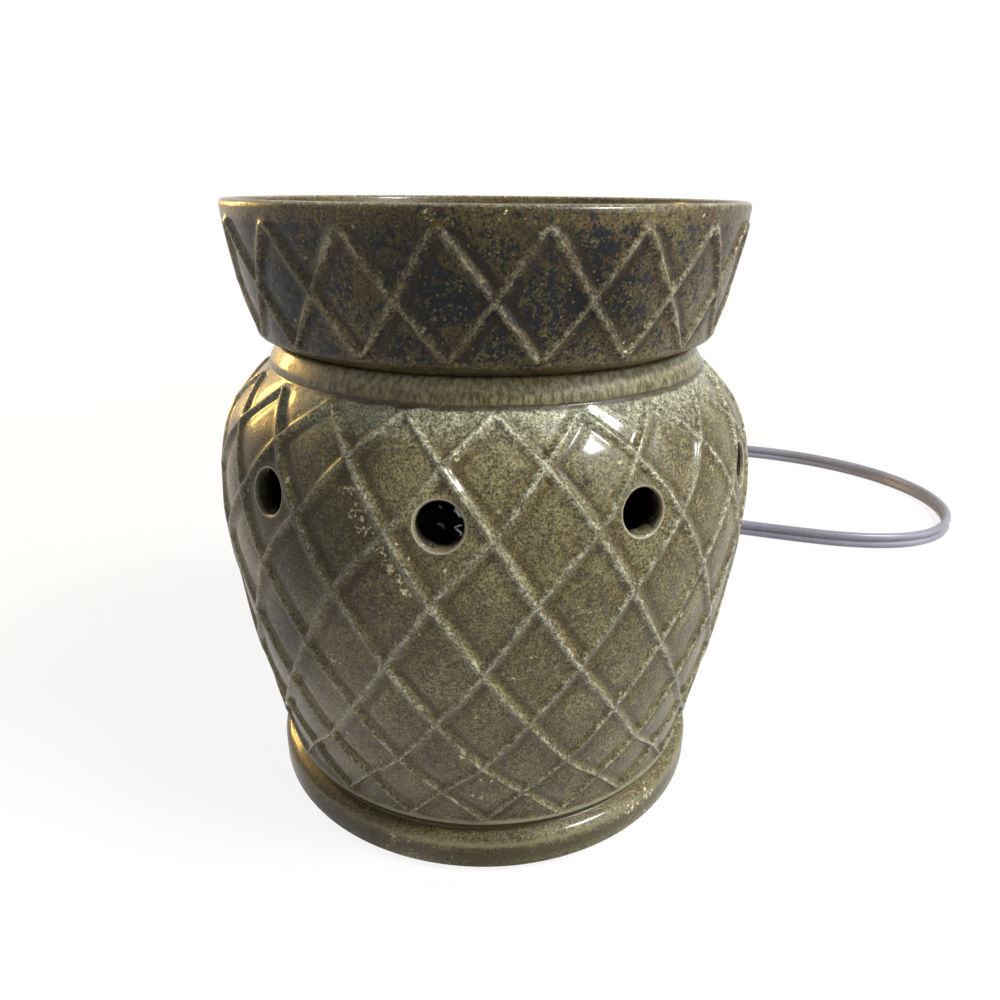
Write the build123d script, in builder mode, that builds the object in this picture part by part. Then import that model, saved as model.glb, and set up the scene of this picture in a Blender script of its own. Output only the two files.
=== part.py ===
from build123d import *
import os
from math import atan2, cos, degrees, pi, radians, sin, sqrt, tan

# An electric wax melt warmer. A glazed stoneware dish lifts off a glazed stoneware body that is pierced
# by round light holes. A clear lamp in a lampholder on the base plate heats the dish. The flat twin cord
# leaves the body at the back, carries a thumbwheel switch, and its spare length is wound into a coil.
# Origin: centre of the footprint, on the table. +Z up, -Y is the front. Millimetres.

# Table and stoneware body
foot_ring_height = 1.2
body_top_height = 122.3
belly_radius = 69.3
body_wall = 4.0
foot_step = 3.13
foot_bead_top_height = 9.4
foot_edge_round = 1.2
foot_bead_round = 1.6
groove_inset = 0.57
groove_height = 10.7
groove_round = 0.4
waist_height = 11.9
collar_height = 6.3
collar_foot_inset = 1.07
collar_foot_depth = 5.4
collar_side_inset = 1.27
collar_side_depth = 3.7
collar_side_round = 3.0
collar_top_inset = 3.47
collar_top_round = 1.1
mouth_inset = 6.57
mouth_round = 0.8
mouth_depth = 8.6
belly_shares = (
    (0.838, 0.0),
    (0.882, 0.133),
    (0.951, 0.374),
    (0.996, 0.618),
    (1.0, 0.712),
    (0.973, 0.842),
    (0.929, 0.913),
    (0.869, 0.963),
    (0.812, 1.0),
)

# Raised lattice of diamonds on the body, its rows of crossings from the collar down
lattice_columns = 20
lattice_row_shares = (1.0, 0.9164, 0.7887, 0.6494, 0.4861, 0.342, 0.2123, 0.1239, 0.025)
lattice_turn = -2.0
lattice_turn_shares = (0.85, 0.635)
rib_rise = 0.85
rib_flank_share = 0.085
cell_sink = 0.35
lattice_root = 1.3
lattice_core_depth = 2.6
lattice_end_step = 1.0

# Light holes, one in every second cell of the lattice
light_hole_count = 10
light_hole_radius = 4.9
light_hole_share = 0.8117
light_hole_first_angle = -99.0

# Floor flange of the body and the recess under it that takes the base plate
flange_height = 4.2
flange_width = 12.9
recess_clearance = 0.6
ring_inner_wall = 4.3

# Base plate, pressed from sheet steel
plate_thickness = 1.2
plate_underside = 4.8
vent_count = 12
vent_radius = 3.0
vent_circle_radius = 30.0

# Screws and nuts that hold the base plate
screw_count = 3
screw_inset = 4.6
screw_first_angle = 90.0
screw_radius = 1.95
screw_length = 10.4
screw_head_radius = 3.75
screw_head_height = 2.3
screw_head_round = 0.8
screw_slot_width = 1.0
screw_slot_depth = 0.9
screw_hole_clearance = 0.3
thread_clearance = 0.05
nut_radius = 4.0
nut_height = 3.0

# Rubber feet under the base plate
pad_count = 3
pad_inset = 9.9
pad_first_angle = 30.0
pad_top_radius = 5.8
pad_tread_radius = 5.0
pad_round = 0.7

# Hollow threaded rod and its hexagon nuts, which carry the lampholder
rod_radius = 5.0
rod_bore_radius = 3.5
rod_below_plate = 2.9
rod_in_holder = 6.6
rod_nut_radius = 8.1
rod_nut_height = 2.4
rod_end_round = 0.4

# Lampholder, moulded in dark heat-proof plastic
holder_height = 40.0
holder_radius = 17.6
holder_base_radius = 19.2
holder_base_height = 9.2
holder_rim_round = 1.2
holder_step_round = 1.0
holder_floor = 10.0
holder_inner_round = 0.25
holder_cavity_radius = 14.2
holder_rod_hole_depth = 7.2

# Metal screw shell and centre contact inside the lampholder
shell_radius = 13.9
shell_wall = 0.45
shell_height = 26.0
shell_opening_radius = 8.0
contact_width = 5.0
contact_thickness = 0.5
contact_foot_length = 5.6
contact_rise = 1.9
contact_tip_length = 4.4

# Terminal screws at the two sides of the lampholder
terminal_offset = 9.0
terminal_height = 4.9
terminal_radius = 1.45
terminal_head_radius = 2.9
terminal_head_height = 1.8
terminal_pocket_radius = 3.3
terminal_seat = 14.9
terminal_tip = 10.3

# Lamp: screw cap, glass and inner parts, lengths measured from its tip
lamp_tip_gap = 0.3
lamp_tip_radius = 4.6
lamp_tip_height = 1.1
lamp_insulator_height = 5.4
lamp_insulator_low_radius = 6.2
lamp_insulator_top_radius = 11.9
lamp_cap_radius = 12.95
lamp_cap_wall = 0.4
lamp_cap_height = 18.4
lamp_cap_lip = 0.9
lamp_neck_radius = 11.9
lamp_neck_inset = 5.0
lamp_globe_radius = 24.0
lamp_headroom = 17.6
lamp_glass_wall = 0.8
lamp_shoulder_shares = ((1.02, 0.06), (1.16, 0.24), (1.58, 0.56), (1.94, 0.86))
stem_flare_radius = 10.6
stem_flare_height = 1.6
stem_root_radius = 4.2
stem_top_radius = 2.4
stem_height_share = 0.2273
support_wire_radius = 0.4
support_wire_start = 1.2
support_wire_gap = 0.15
support_wire_spread = 9.0
support_wire_height_share = 0.2871
filament_radius = 0.45
filament_rise = 5.0
filament_end_gap = 0.1

# Dish
dish_height = 32.7
dish_flare = 5.9
dish_lip_step = 0.3
dish_lip_height = 3.2
dish_wall = 3.3
dish_heel_step = 5.5
dish_heel_rise = 2.7
dish_heel_round = 1.0
dish_rim_round = 1.35
dish_seat_width = 1.9
dish_floor_rise = 5.1
dish_floor_inset = 3.7
dish_floor_round = 8.0
dish_underside_drop = 0.4
dish_spigot_clearance = 0.8
dish_spigot_wall = 3.6
dish_spigot_depth = 4.8
dish_small_round = 0.5
dish_edge_round = 0.1
dish_foot_gap_share = 0.15
dish_spigot_round = 0.9
dish_spigot_draft = 0.3
dish_lattice_row_shares = (1.0, 0.4749, 0.0)
dish_rib_rise = 0.8
dish_cell_sink = 0.15
dish_lattice_root = 1.0
dish_lattice_core_depth = 2.0
dish_lattice_foot_step = 0.7
dish_lattice_head_step = 0.2
dish_lattice_end_step = 0.8

# Cord outlet at the back and its tapered sleeve
outlet_height = 24.6
outlet_radius = 5.4
sleeve_neck_clearance = 0.2
sleeve_flange_radius = 7.0
sleeve_flange_thickness = 2.0
sleeve_outer_gap = 0.55
sleeve_inner_gap = 0.65
sleeve_root_radius = 4.9
sleeve_tip_radius = 3.6
sleeve_length = 25.0
sleeve_groove_count = 5
sleeve_groove_width = 1.4
sleeve_groove_depth = 0.9

# Two leads inside the body
lead_radius = 1.3
lead_half_spacing = 1.9
lead_hole_clearance = 0.15
lead_terminal_offset = 8.3
lead_end_offset = 9.5
lead_straight_length = 11.0
lead_bend_distance = 30.0

# Flat twin cord, which lies on its edge. The solids are round tubes of its sectional area
cord_width = 7.4
cord_tube_radius = 2.6
cord_first_run = 11.0
cord_arc_share = 0.45

# Coil of the spare length: half turns that spiral in, climb one layer and spiral out again
coil_floor_gap = 0.2
coil_centre_x = -30.0
coil_centre_y = 176.0
coil_outer_radius = 47.0
coil_pitch = 5.7
coil_layer_step = 7.6
coil_half_turns = 3

# Tie around the coil
tie_width = 4.0
tie_thickness = 0.7
tie_corner_radius = 2.4
tie_clearance = 0.5
tie_foot_gap = 0.15

# Thumbwheel switch on the cord
switch_centre_x = 76.0
switch_centre_y = 267.0
switch_length = 52.0
switch_breadth = 23.0
switch_height = 15.0
switch_seam_height = 6.6
switch_wall = 2.0
switch_corner_round = 7.0
switch_edge_round = 2.0
wheel_radius = 9.0
wheel_height = 4.4
wheel_offset = 4.9
wheel_gap = 0.5
wheel_notch_count = 24
wheel_notch_radius = 0.5
wheel_bore_clearance = 0.06
axle_radius = 1.5
axle_boss_radius = 3.0
axle_boss_gap = 0.4
axle_seat_depth = 1.2
switch_screw_offset = 18.0
switch_screw_radius = 1.2
switch_screw_head_radius = 2.3
switch_screw_head_height = 1.2
switch_screw_depth = 8.4
switch_boss_radius = 2.9
strip_length = 11.0
strip_width = 2.4
strip_thickness = 0.6
strip_offset = 6.2
strip_spacing = 7.0

# Two-blade plug
plug_x = 51.7
plug_y = 223.1
plug_heading = 20.0
plug_entry_run = 13.0
plug_rear_width = 11.0
plug_rear_height = 9.5
plug_rear_round = 3.8
plug_width = 25.0
plug_height = 14.0
plug_round = 4.5
plug_taper_length = 14.0
plug_body_length = 15.0
cord_end_offsets = (
    (0.0, 11.5, 0.0),
    (1.6, 22.9, -1.8),
    (7.2, 33.5, -4.4),
)
plug_face_round = 1.5
blade_spacing = 12.7
blade_width = 6.3
blade_thickness = 1.5
blade_length = 17.0
blade_inset = 6.0
blade_clearance = 0.05
blade_hole_radius = 1.6
blade_hole_setback = 5.0
blade_tip_chamfer = 0.4

# Values that follow from those above
neck_height = body_top_height - collar_height
belly_span = neck_height - waist_height
light_hole_height = waist_height + belly_span * light_hole_share
collar_foot_height = body_top_height - collar_foot_depth
collar_side_height = body_top_height - collar_side_depth
waist_radius = belly_radius * belly_shares[0][0]
neck_radius = belly_radius * belly_shares[-1][0]
foot_radius = waist_radius + foot_step
groove_radius = waist_radius - groove_inset
collar_foot_radius = neck_radius - collar_foot_inset
collar_side_radius = neck_radius - collar_side_inset
collar_top_radius = neck_radius - collar_top_inset
mouth_radius = neck_radius - mouth_inset
dish_spigot_outer_radius = mouth_radius - dish_spigot_clearance
dish_spigot_inner_radius = dish_spigot_outer_radius - dish_spigot_wall
dish_seat_radius = mouth_radius + dish_seat_width
dish_heel_radius = dish_seat_radius + dish_heel_step
dish_rim_radius = dish_heel_radius + dish_flare
dish_wall_top_radius = dish_rim_radius - dish_lip_step
dish_rim_inner_radius = dish_rim_radius - dish_wall
dish_floor_radius = dish_heel_radius - dish_floor_inset
dish_rim_height = body_top_height + dish_height
dish_heel_height = body_top_height + dish_heel_rise
dish_floor_height = body_top_height + dish_floor_rise
dish_underside_height = body_top_height - dish_underside_drop
plate_top = plate_underside + plate_thickness
flange_top = plate_top + flange_height
ring_inner_radius = foot_radius - ring_inner_wall
flange_opening_radius = ring_inner_radius - flange_width
screw_circle_radius = flange_opening_radius + screw_inset
pad_circle_radius = ring_inner_radius - pad_inset
rod_top = plate_top + rod_nut_height + rod_in_holder
holder_base = plate_top + rod_nut_height
holder_top = holder_base + holder_height
cavity_floor = holder_base + holder_floor
contact_top = cavity_floor + contact_thickness + contact_rise
lamp_base = contact_top + lamp_tip_gap
lamp_top = body_top_height - lamp_headroom
lamp_length = lamp_top - lamp_base
globe_centre = lamp_top - lamp_globe_radius
cap_bottom = lamp_base + lamp_tip_height + lamp_insulator_height
cap_top = cap_bottom + lamp_cap_height
neck_bottom = cap_top - lamp_neck_inset
terminal_z = holder_base + terminal_height
cord_area = pi * cord_tube_radius**2
cord_height = cord_width / 2
coil_height = cord_height + tie_thickness + coil_floor_gap

bisections = 40

os.makedirs("parts", exist_ok=True)


def belly_point(share):
    """A point of the body's outer curve in radius and height."""
    return (belly_radius * share[0], waist_height + belly_span * share[1])


def inward(points, distance):
    """Points moved square to their curve, towards the axis."""
    moved = []
    for before, point, after in zip(points[:-2], points[1:-1], points[2:]):
        slope = atan2(after[1] - before[1], after[0] - before[0])
        moved.append((point[0] - distance * sin(slope), point[1] + distance * cos(slope)))
    return moved


def belly_radius_at(height):
    """Outer radius of the body at a height, between two points of its curve."""
    for low, high in zip(outer_curve[:-1], outer_curve[1:]):
        if low[1] <= height <= high[1]:
            return low[0] + (high[0] - low[0]) * (height - low[1]) / (high[1] - low[1])
    return belly_radius


def belly_lean_at(height):
    """Angle by which the body's wall leans outwards at a height, in degrees."""
    for low, high in zip(outer_curve[:-1], outer_curve[1:]):
        if low[1] <= height <= high[1]:
            return degrees(atan2(high[0] - low[0], high[1] - low[1]))
    return 0


def cord_radii(points):
    """Radius of the arc at each corner of a cord's route."""
    radii = []
    for before, point, after in zip(points[:-2], points[1:-1], points[2:]):
        run_in = Vector(*point) - Vector(*before)
        run_out = Vector(*after) - Vector(*point)
        half_turn = radians(run_in.get_angle(run_out)) / 2
        radii.append(cord_arc_share * min(run_in.length, run_out.length) / tan(half_turn))
    return radii


def tell_tube(name, solid, path, area):
    """Prints a tube's volume beside its section times its length."""
    print(f"{name}: length {path.length:.1f}, volume {solid.volume:.0f}")
    print(f"{name}: section times length {area * path.length:.0f}")


def wall_radius_at(wall, height):
    """Radius at a height on a wall that is given as an edge in the XZ plane."""
    low, high = 0.0, 1.0
    for _ in range(bisections):
        middle = (low + high) / 2
        if (wall @ middle).Z < height:
            low = middle
        else:
            high = middle
    return (wall @ low).X


def between(values, place):
    """A value between the listed ones, where a whole place is a listed one."""
    whole = min(int(place), len(values) - 2)
    return values[whole] + (values[whole + 1] - values[whole]) * (place - whole)


def lattice_block(wall, heights, first_column, rise, sink, turn_at):
    """A block with the lattice on its skin. Ribs are ridges from crossing to crossing, with a sunk cell
    between them. When first_column is 0, a crossing lies where column and row are both even or both odd,
    and when it is 1, the crossings lie one column round from there."""
    last = len(heights) - 1

    def place(column, row, level):
        height = between(heights, row)
        radius = wall_radius_at(wall, height) + level
        angle = radians(column * 180 / lattice_columns + turn_at(height))
        return Vector(radius * sin(angle), -radius * cos(angle), height)

    skin = []
    rims = {0: [], last: []}
    inset = 2 * rib_flank_share
    for row in range(last + 1):
        for column in range(first_column + (row + 1) % 2, first_column + 2 * lattice_columns, 2):
            ways = [(0, -1), (-1, 0), (0, 1), (1, 0)]
            ways = [way for way in ways if 0 <= row + way[1] <= last]
            outer = [place(column + across, row + down, rise) for across, down in ways]
            inner = [
                place(column + across * (1 - inset), row + down * (1 - inset), 0) for across, down in ways
            ]
            centre = place(column, row, -sink)
            if row == 0:
                rims[row] += [outer[0], inner[0], centre, inner[2]]
                pairs = [(0, 1), (1, 2)]
            elif row == last:
                rims[row] += [outer[1], inner[1], centre, inner[2]]
                pairs = [(0, 1), (2, 0)]
            else:
                pairs = [(0, 1), (1, 2), (2, 3), (3, 0)]
            for first, second in pairs:
                skin.append((outer[first], outer[second], inner[second]))
                skin.append((outer[first], inner[second], inner[first]))
                skin.append((inner[first], inner[second], centre))
    faces = [Face(Wire.make_polygon(corners)) for corners in skin]
    faces += [Face(Wire.make_polygon(rim)) for rim in rims.values()]
    return Solid(Shell(faces))


outer_curve = [belly_point(share) for share in belly_shares]
belly_wall = Spline(*[(radius, 0, height) for radius, height in outer_curve])
lattice_heights = [waist_height + belly_span * share for share in lattice_row_shares]
lattice_turn_heights = [waist_height + belly_span * share for share in lattice_turn_shares]


def lattice_turn_at(height):
    """The lower rows lie a little round from the upper ones, in degrees."""
    start, end = lattice_turn_heights
    share = min(max((start - height) / (start - end), 0), 1)
    return lattice_turn * share**2 * (3 - 2 * share)


def no_turn(height):
    """The rows of the dish's lattice lie straight over each other."""
    return 0


core_curve = [
    (wall_radius_at(belly_wall, height) - lattice_core_depth, height) for height in lattice_heights
]
root_curve = inward(outer_curve, lattice_root)
lattice_low_radius = wall_radius_at(belly_wall, lattice_heights[-1])
inner_curve = inward(outer_curve, body_wall)
outlet_lean = belly_lean_at(outlet_height)
outlet_direction = Vector(0, cos(radians(outlet_lean)), -sin(radians(outlet_lean)))
outlet_plane = Plane(
    origin=(0, belly_radius_at(outlet_height), outlet_height), x_dir=(1, 0, 0), z_dir=outlet_direction
)

# The body is one slip-cast shell, with a foot bead, a groove, the belly, and a collar round the mouth
with BuildPart() as warmer_body:
    add(lattice_block(belly_wall, lattice_heights, 0, rib_rise, cell_sink, lattice_turn_at))
    with BuildSketch(Plane.XZ):
        with BuildLine():
            Polyline(
                (0, core_curve[0][1] + lattice_end_step),
                (core_curve[0][0], core_curve[0][1] + lattice_end_step),
                *core_curve,
                (core_curve[-1][0], core_curve[-1][1] - lattice_end_step),
                (0, core_curve[-1][1] - lattice_end_step),
                close=True,
            )
        make_face()
    revolve(axis=Axis.Z, mode=Mode.SUBTRACT)
    with BuildSketch(Plane.XZ):
        with BuildLine():
            FilletPolyline(
                (ring_inner_radius, foot_ring_height),
                (foot_radius, foot_ring_height),
                (foot_radius, foot_bead_top_height),
                (groove_radius, groove_height),
                (waist_radius, waist_height),
                (lattice_low_radius, lattice_heights[-1] - lattice_end_step / 2),
                (lattice_low_radius - lattice_root, lattice_heights[-1] + lattice_end_step),
                root_curve[0],
                radius=[
                    foot_edge_round,
                    foot_bead_round,
                    groove_round,
                    groove_round,
                    groove_round,
                    groove_round,
                ],
            )
            Spline(*root_curve)
            FilletPolyline(
                root_curve[-1],
                (neck_radius - lattice_root, neck_height - lattice_end_step),
                (neck_radius, neck_height + lattice_end_step / 4),
                (collar_foot_radius, collar_foot_height),
                (collar_side_radius, collar_side_height),
                (collar_top_radius, body_top_height),
                (mouth_radius, body_top_height),
                (mouth_radius, body_top_height - mouth_depth),
                radius=[
                    groove_round,
                    groove_round / 2,
                    groove_round / 2,
                    collar_side_round,
                    collar_top_round,
                    mouth_round,
                ],
            )
            Line((mouth_radius, body_top_height - mouth_depth), inner_curve[-1])
            Spline(*inner_curve[::-1])
            Polyline(
                inner_curve[0],
                (groove_radius - body_wall, flange_top),
                (flange_opening_radius, flange_top),
                (flange_opening_radius, plate_top),
                (ring_inner_radius, plate_top),
                (ring_inner_radius, foot_ring_height),
            )
        make_face()
    revolve(axis=Axis.Z)
    with Locations((0, 0, light_hole_height)):
        with PolarLocations(belly_radius, light_hole_count, start_angle=light_hole_first_angle):
            Cylinder(light_hole_radius, belly_radius / 2, rotation=(0, 90, 0), mode=Mode.SUBTRACT)
    with Locations((0, 0, plate_top + flange_height / 2)):
        with PolarLocations(screw_circle_radius, screw_count, start_angle=screw_first_angle):
            Cylinder(screw_radius + screw_hole_clearance, flange_height * 2, mode=Mode.SUBTRACT)
    with BuildSketch(outlet_plane):
        Circle(outlet_radius)
    extrude(amount=body_wall * 2, both=True, mode=Mode.SUBTRACT)
warmer_body.part.label = "warmer_body"
export_step(warmer_body.part, "parts/warmer_body.step")

# The dish stands on the collar, and a ring under it drops into the mouth. One row of whole diamonds and
# the halves above and below them run round its wall
dish_wall_top_height = dish_rim_height - dish_lip_height
dish_side = Line((dish_heel_radius, 0, dish_heel_height), (dish_wall_top_radius, 0, dish_wall_top_height))
dish_lattice_low = dish_heel_height + dish_lattice_foot_step
dish_lattice_span = dish_wall_top_height - dish_lattice_head_step - dish_lattice_low
dish_lattice_heights = [dish_lattice_low + dish_lattice_span * share for share in dish_lattice_row_shares]
dish_core_curve = [
    (wall_radius_at(dish_side, height) - dish_lattice_core_depth, height) for height in dish_lattice_heights
]
dish_root_low = dish_lattice_low + dish_lattice_end_step
dish_root_high = dish_lattice_heights[0] - dish_lattice_end_step
dish_wall_foot = dish_lattice_low - dish_lattice_end_step * dish_foot_gap_share
with BuildPart() as wax_dish:
    add(lattice_block(dish_side, dish_lattice_heights, 1, dish_rib_rise, dish_cell_sink, no_turn))
    with BuildSketch(Plane.XZ):
        with BuildLine():
            Polyline(
                (0, dish_core_curve[0][1] + lattice_end_step),
                (dish_core_curve[0][0], dish_core_curve[0][1] + lattice_end_step),
                *dish_core_curve,
                (dish_core_curve[-1][0], dish_core_curve[-1][1] - lattice_end_step),
                (0, dish_core_curve[-1][1] - lattice_end_step),
                close=True,
            )
        make_face()
    revolve(axis=Axis.Z, mode=Mode.SUBTRACT)
    with BuildSketch(Plane.XZ):
        with BuildLine():
            FilletPolyline(
                (0, dish_underside_height),
                (dish_spigot_inner_radius, dish_underside_height),
                (dish_spigot_inner_radius + dish_spigot_draft, body_top_height - dish_spigot_depth),
                (dish_spigot_outer_radius - dish_spigot_draft, body_top_height - dish_spigot_depth),
                (dish_spigot_outer_radius, body_top_height),
                (dish_seat_radius, body_top_height),
                (dish_heel_radius, dish_heel_height),
                (wall_radius_at(dish_side, dish_wall_foot), dish_wall_foot),
                (wall_radius_at(dish_side, dish_root_low) - dish_lattice_root, dish_root_low),
                (wall_radius_at(dish_side, dish_root_high) - dish_lattice_root, dish_root_high),
                (dish_wall_top_radius, dish_wall_top_height),
                (dish_rim_radius, dish_rim_height),
                (dish_rim_inner_radius, dish_rim_height),
                (dish_floor_radius, dish_floor_height),
                (0, dish_floor_height),
                radius=[
                    dish_spigot_round,
                    dish_spigot_round,
                    dish_spigot_round,
                    dish_small_round,
                    dish_small_round,
                    dish_heel_round,
                    dish_edge_round,
                    dish_edge_round,
                    dish_edge_round,
                    dish_small_round,
                    dish_rim_round,
                    dish_rim_round,
                    dish_floor_round,
                ],
            )
            Line((0, dish_floor_height), (0, dish_underside_height))
        make_face()
    revolve(axis=Axis.Z)
wax_dish.part.label = "wax_dish"
export_step(wax_dish.part, "parts/wax_dish.step")

# The base plate closes the bottom and lets cooling air in through a ring of holes
with BuildPart() as base_plate:
    with BuildSketch(Plane.XY.offset(plate_underside)):
        Circle(ring_inner_radius - recess_clearance)
        Circle(rod_radius + screw_hole_clearance, mode=Mode.SUBTRACT)
        with PolarLocations(vent_circle_radius, vent_count):
            Circle(vent_radius, mode=Mode.SUBTRACT)
        with PolarLocations(screw_circle_radius, screw_count, start_angle=screw_first_angle):
            Circle(screw_radius + screw_hole_clearance, mode=Mode.SUBTRACT)
    extrude(amount=plate_thickness)
base_plate.part.label = "base_plate"
export_step(base_plate.part, "parts/base_plate.step")

# Pan-head screws up through the plate and the flange
with BuildPart() as base_plate_screws:
    with BuildSketch(Plane.XY.offset(plate_underside - screw_head_height)):
        with PolarLocations(screw_circle_radius, screw_count, start_angle=screw_first_angle):
            Circle(screw_head_radius)
    extrude(amount=screw_head_height)
    fillet(base_plate_screws.edges().filter_by(GeomType.CIRCLE).group_by(Axis.Z)[0], screw_head_round)
    with BuildSketch(Plane.XY.offset(plate_underside - screw_head_height)):
        with PolarLocations(screw_circle_radius, screw_count, start_angle=screw_first_angle):
            Rectangle(screw_head_radius * 2, screw_slot_width)
    extrude(amount=screw_slot_depth, mode=Mode.SUBTRACT)
    with BuildSketch(Plane.XY.offset(plate_underside)):
        with PolarLocations(screw_circle_radius, screw_count, start_angle=screw_first_angle):
            Circle(screw_radius)
    extrude(amount=screw_length)
base_plate_screws.part.label = "base_plate_screws"
export_step(base_plate_screws.part, "parts/base_plate_screws.step")

# Hexagon nuts on top of the flange
with BuildPart() as base_plate_nuts:
    with BuildSketch(Plane.XY.offset(flange_top)):
        with PolarLocations(screw_circle_radius, screw_count, start_angle=screw_first_angle):
            RegularPolygon(nut_radius, 6)
            Circle(screw_radius + thread_clearance, mode=Mode.SUBTRACT)
    extrude(amount=nut_height)
base_plate_nuts.part.label = "base_plate_nuts"
export_step(base_plate_nuts.part, "parts/base_plate_nuts.step")

# Rubber feet, stuck to the underside of the plate
with BuildPart() as rubber_feet:
    with Locations((0, 0, plate_underside / 2)):
        with PolarLocations(pad_circle_radius, pad_count, start_angle=pad_first_angle):
            Cone(pad_tread_radius, pad_top_radius, plate_underside)
    fillet(rubber_feet.edges().group_by(Axis.Z)[0], pad_round)
rubber_feet.part.label = "rubber_feet"
export_step(rubber_feet.part, "parts/rubber_feet.step")

# Hollow threaded rod through the middle of the plate
with BuildPart() as threaded_rod:
    with BuildSketch(Plane.XY.offset(plate_underside - rod_below_plate)):
        Circle(rod_radius)
        Circle(rod_bore_radius, mode=Mode.SUBTRACT)
    extrude(amount=rod_top - plate_underside + rod_below_plate)
    rims = threaded_rod.edges().filter_by(GeomType.CIRCLE)
    chamfer(rims.filter_by(lambda rim: rim.radius == rod_radius), rod_end_round)
threaded_rod.part.label = "threaded_rod"
export_step(threaded_rod.part, "parts/threaded_rod.step")

# One nut under the plate and one over it
with BuildPart() as rod_nuts:
    for nut_base in (plate_underside - rod_nut_height, plate_top):
        with BuildSketch(Plane.XY.offset(nut_base)):
            RegularPolygon(rod_nut_radius, 6)
            Circle(rod_radius + thread_clearance, mode=Mode.SUBTRACT)
        extrude(amount=rod_nut_height)
rod_nuts.part.label = "rod_nuts"
export_step(rod_nuts.part, "parts/rod_nuts.step")

# Lampholder: a moulded cup with a wider base that takes the two leads
with BuildPart() as lampholder:
    with BuildSketch(Plane.XZ):
        with BuildLine():
            FilletPolyline(
                (0, holder_base),
                (holder_base_radius, holder_base),
                (holder_base_radius, holder_base + holder_base_height),
                (holder_radius, holder_base + holder_base_height),
                (holder_radius, holder_top),
                (holder_cavity_radius, holder_top),
                (holder_cavity_radius, cavity_floor),
                (0, cavity_floor),
                radius=[
                    holder_step_round,
                    holder_step_round,
                    holder_step_round / 2,
                    holder_rim_round,
                    holder_rim_round,
                    holder_inner_round,
                ],
            )
            Line((0, cavity_floor), (0, holder_base))
        make_face()
    revolve(axis=Axis.Z)
    with BuildSketch(Plane.XY.offset(holder_base)):
        Circle(rod_radius + thread_clearance)
    extrude(amount=holder_rod_hole_depth, mode=Mode.SUBTRACT)
    for side in (-1, 1):
        with BuildSketch(Plane((side * lead_terminal_offset, lead_end_offset, terminal_z), z_dir=(0, 1, 0))):
            Circle(lead_radius + lead_hole_clearance)
        extrude(amount=holder_base_radius, mode=Mode.SUBTRACT)
        with BuildSketch(Plane((side * terminal_tip, terminal_offset, terminal_z), z_dir=(side, 0, 0))):
            Circle(terminal_radius + thread_clearance)
        extrude(amount=holder_base_radius, mode=Mode.SUBTRACT)
        with BuildSketch(Plane((side * terminal_seat, terminal_offset, terminal_z), z_dir=(side, 0, 0))):
            Circle(terminal_pocket_radius)
        extrude(amount=holder_base_radius, mode=Mode.SUBTRACT)
lampholder.part.label = "lampholder"
export_step(lampholder.part, "parts/lampholder.step")

# Screw shell that the lamp's cap turns in
with BuildPart() as screw_shell:
    with BuildSketch(Plane.XZ):
        with BuildLine():
            Polyline(
                (shell_opening_radius, cavity_floor),
                (shell_radius, cavity_floor),
                (shell_radius, cavity_floor + shell_height),
                (shell_radius - shell_wall, cavity_floor + shell_height),
                (shell_radius - shell_wall, cavity_floor + shell_wall),
                (shell_opening_radius, cavity_floor + shell_wall),
                close=True,
            )
        make_face()
    revolve(axis=Axis.Z)
screw_shell.part.label = "screw_shell"
export_step(screw_shell.part, "parts/screw_shell.step")

# Springy brass tongue under the lamp's tip
with BuildPart() as centre_contact:
    with BuildSketch(Plane.XZ):
        with BuildLine():
            Polyline(
                (-contact_foot_length, cavity_floor),
                (-contact_tip_length / 2, cavity_floor),
                (0, cavity_floor + contact_rise),
                (contact_tip_length / 2, cavity_floor + contact_rise),
                (contact_tip_length / 2, contact_top),
                (-contact_thickness, contact_top),
                (-contact_tip_length / 2 - contact_thickness, cavity_floor + contact_thickness),
                (-contact_foot_length, cavity_floor + contact_thickness),
                close=True,
            )
        make_face()
    extrude(amount=contact_width / 2, both=True)
centre_contact.part.label = "centre_contact"
export_step(centre_contact.part, "parts/centre_contact.step")

# Two terminal screws that clamp the leads
with BuildPart() as terminal_screws:
    for side in (-1, 1):
        with BuildSketch(Plane((side * terminal_tip, terminal_offset, terminal_z), z_dir=(side, 0, 0))):
            Circle(terminal_radius)
        extrude(amount=terminal_seat - terminal_tip)
        with BuildSketch(Plane((side * terminal_seat, terminal_offset, terminal_z), z_dir=(side, 0, 0))):
            Circle(terminal_head_radius)
        extrude(amount=terminal_head_height)
terminal_screws.part.label = "terminal_screws"
export_step(terminal_screws.part, "parts/terminal_screws.step")

# Lamp tip, which only travels as the lamp is unscrewed
with BuildPart() as lamp_tip:
    with BuildSketch(Plane.XY.offset(lamp_base)):
        Circle(lamp_tip_radius)
    extrude(amount=lamp_tip_height)
    fillet(lamp_tip.edges().group_by(Axis.Z)[0], lamp_tip_height / 2)
lamp_tip.part.label = "lamp_tip"
export_step(lamp_tip.part, "parts/lamp_tip.step")

# Black glass insulator between the tip and the screw cap
with BuildPart() as lamp_insulator:
    with BuildSketch(Plane.XY.offset(lamp_base + lamp_tip_height)):
        Circle(lamp_insulator_low_radius)
    with BuildSketch(Plane.XY.offset(cap_bottom)):
        Circle(lamp_insulator_top_radius)
    loft()
lamp_insulator.part.label = "lamp_insulator"
export_step(lamp_insulator.part, "parts/lamp_insulator.step")

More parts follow.
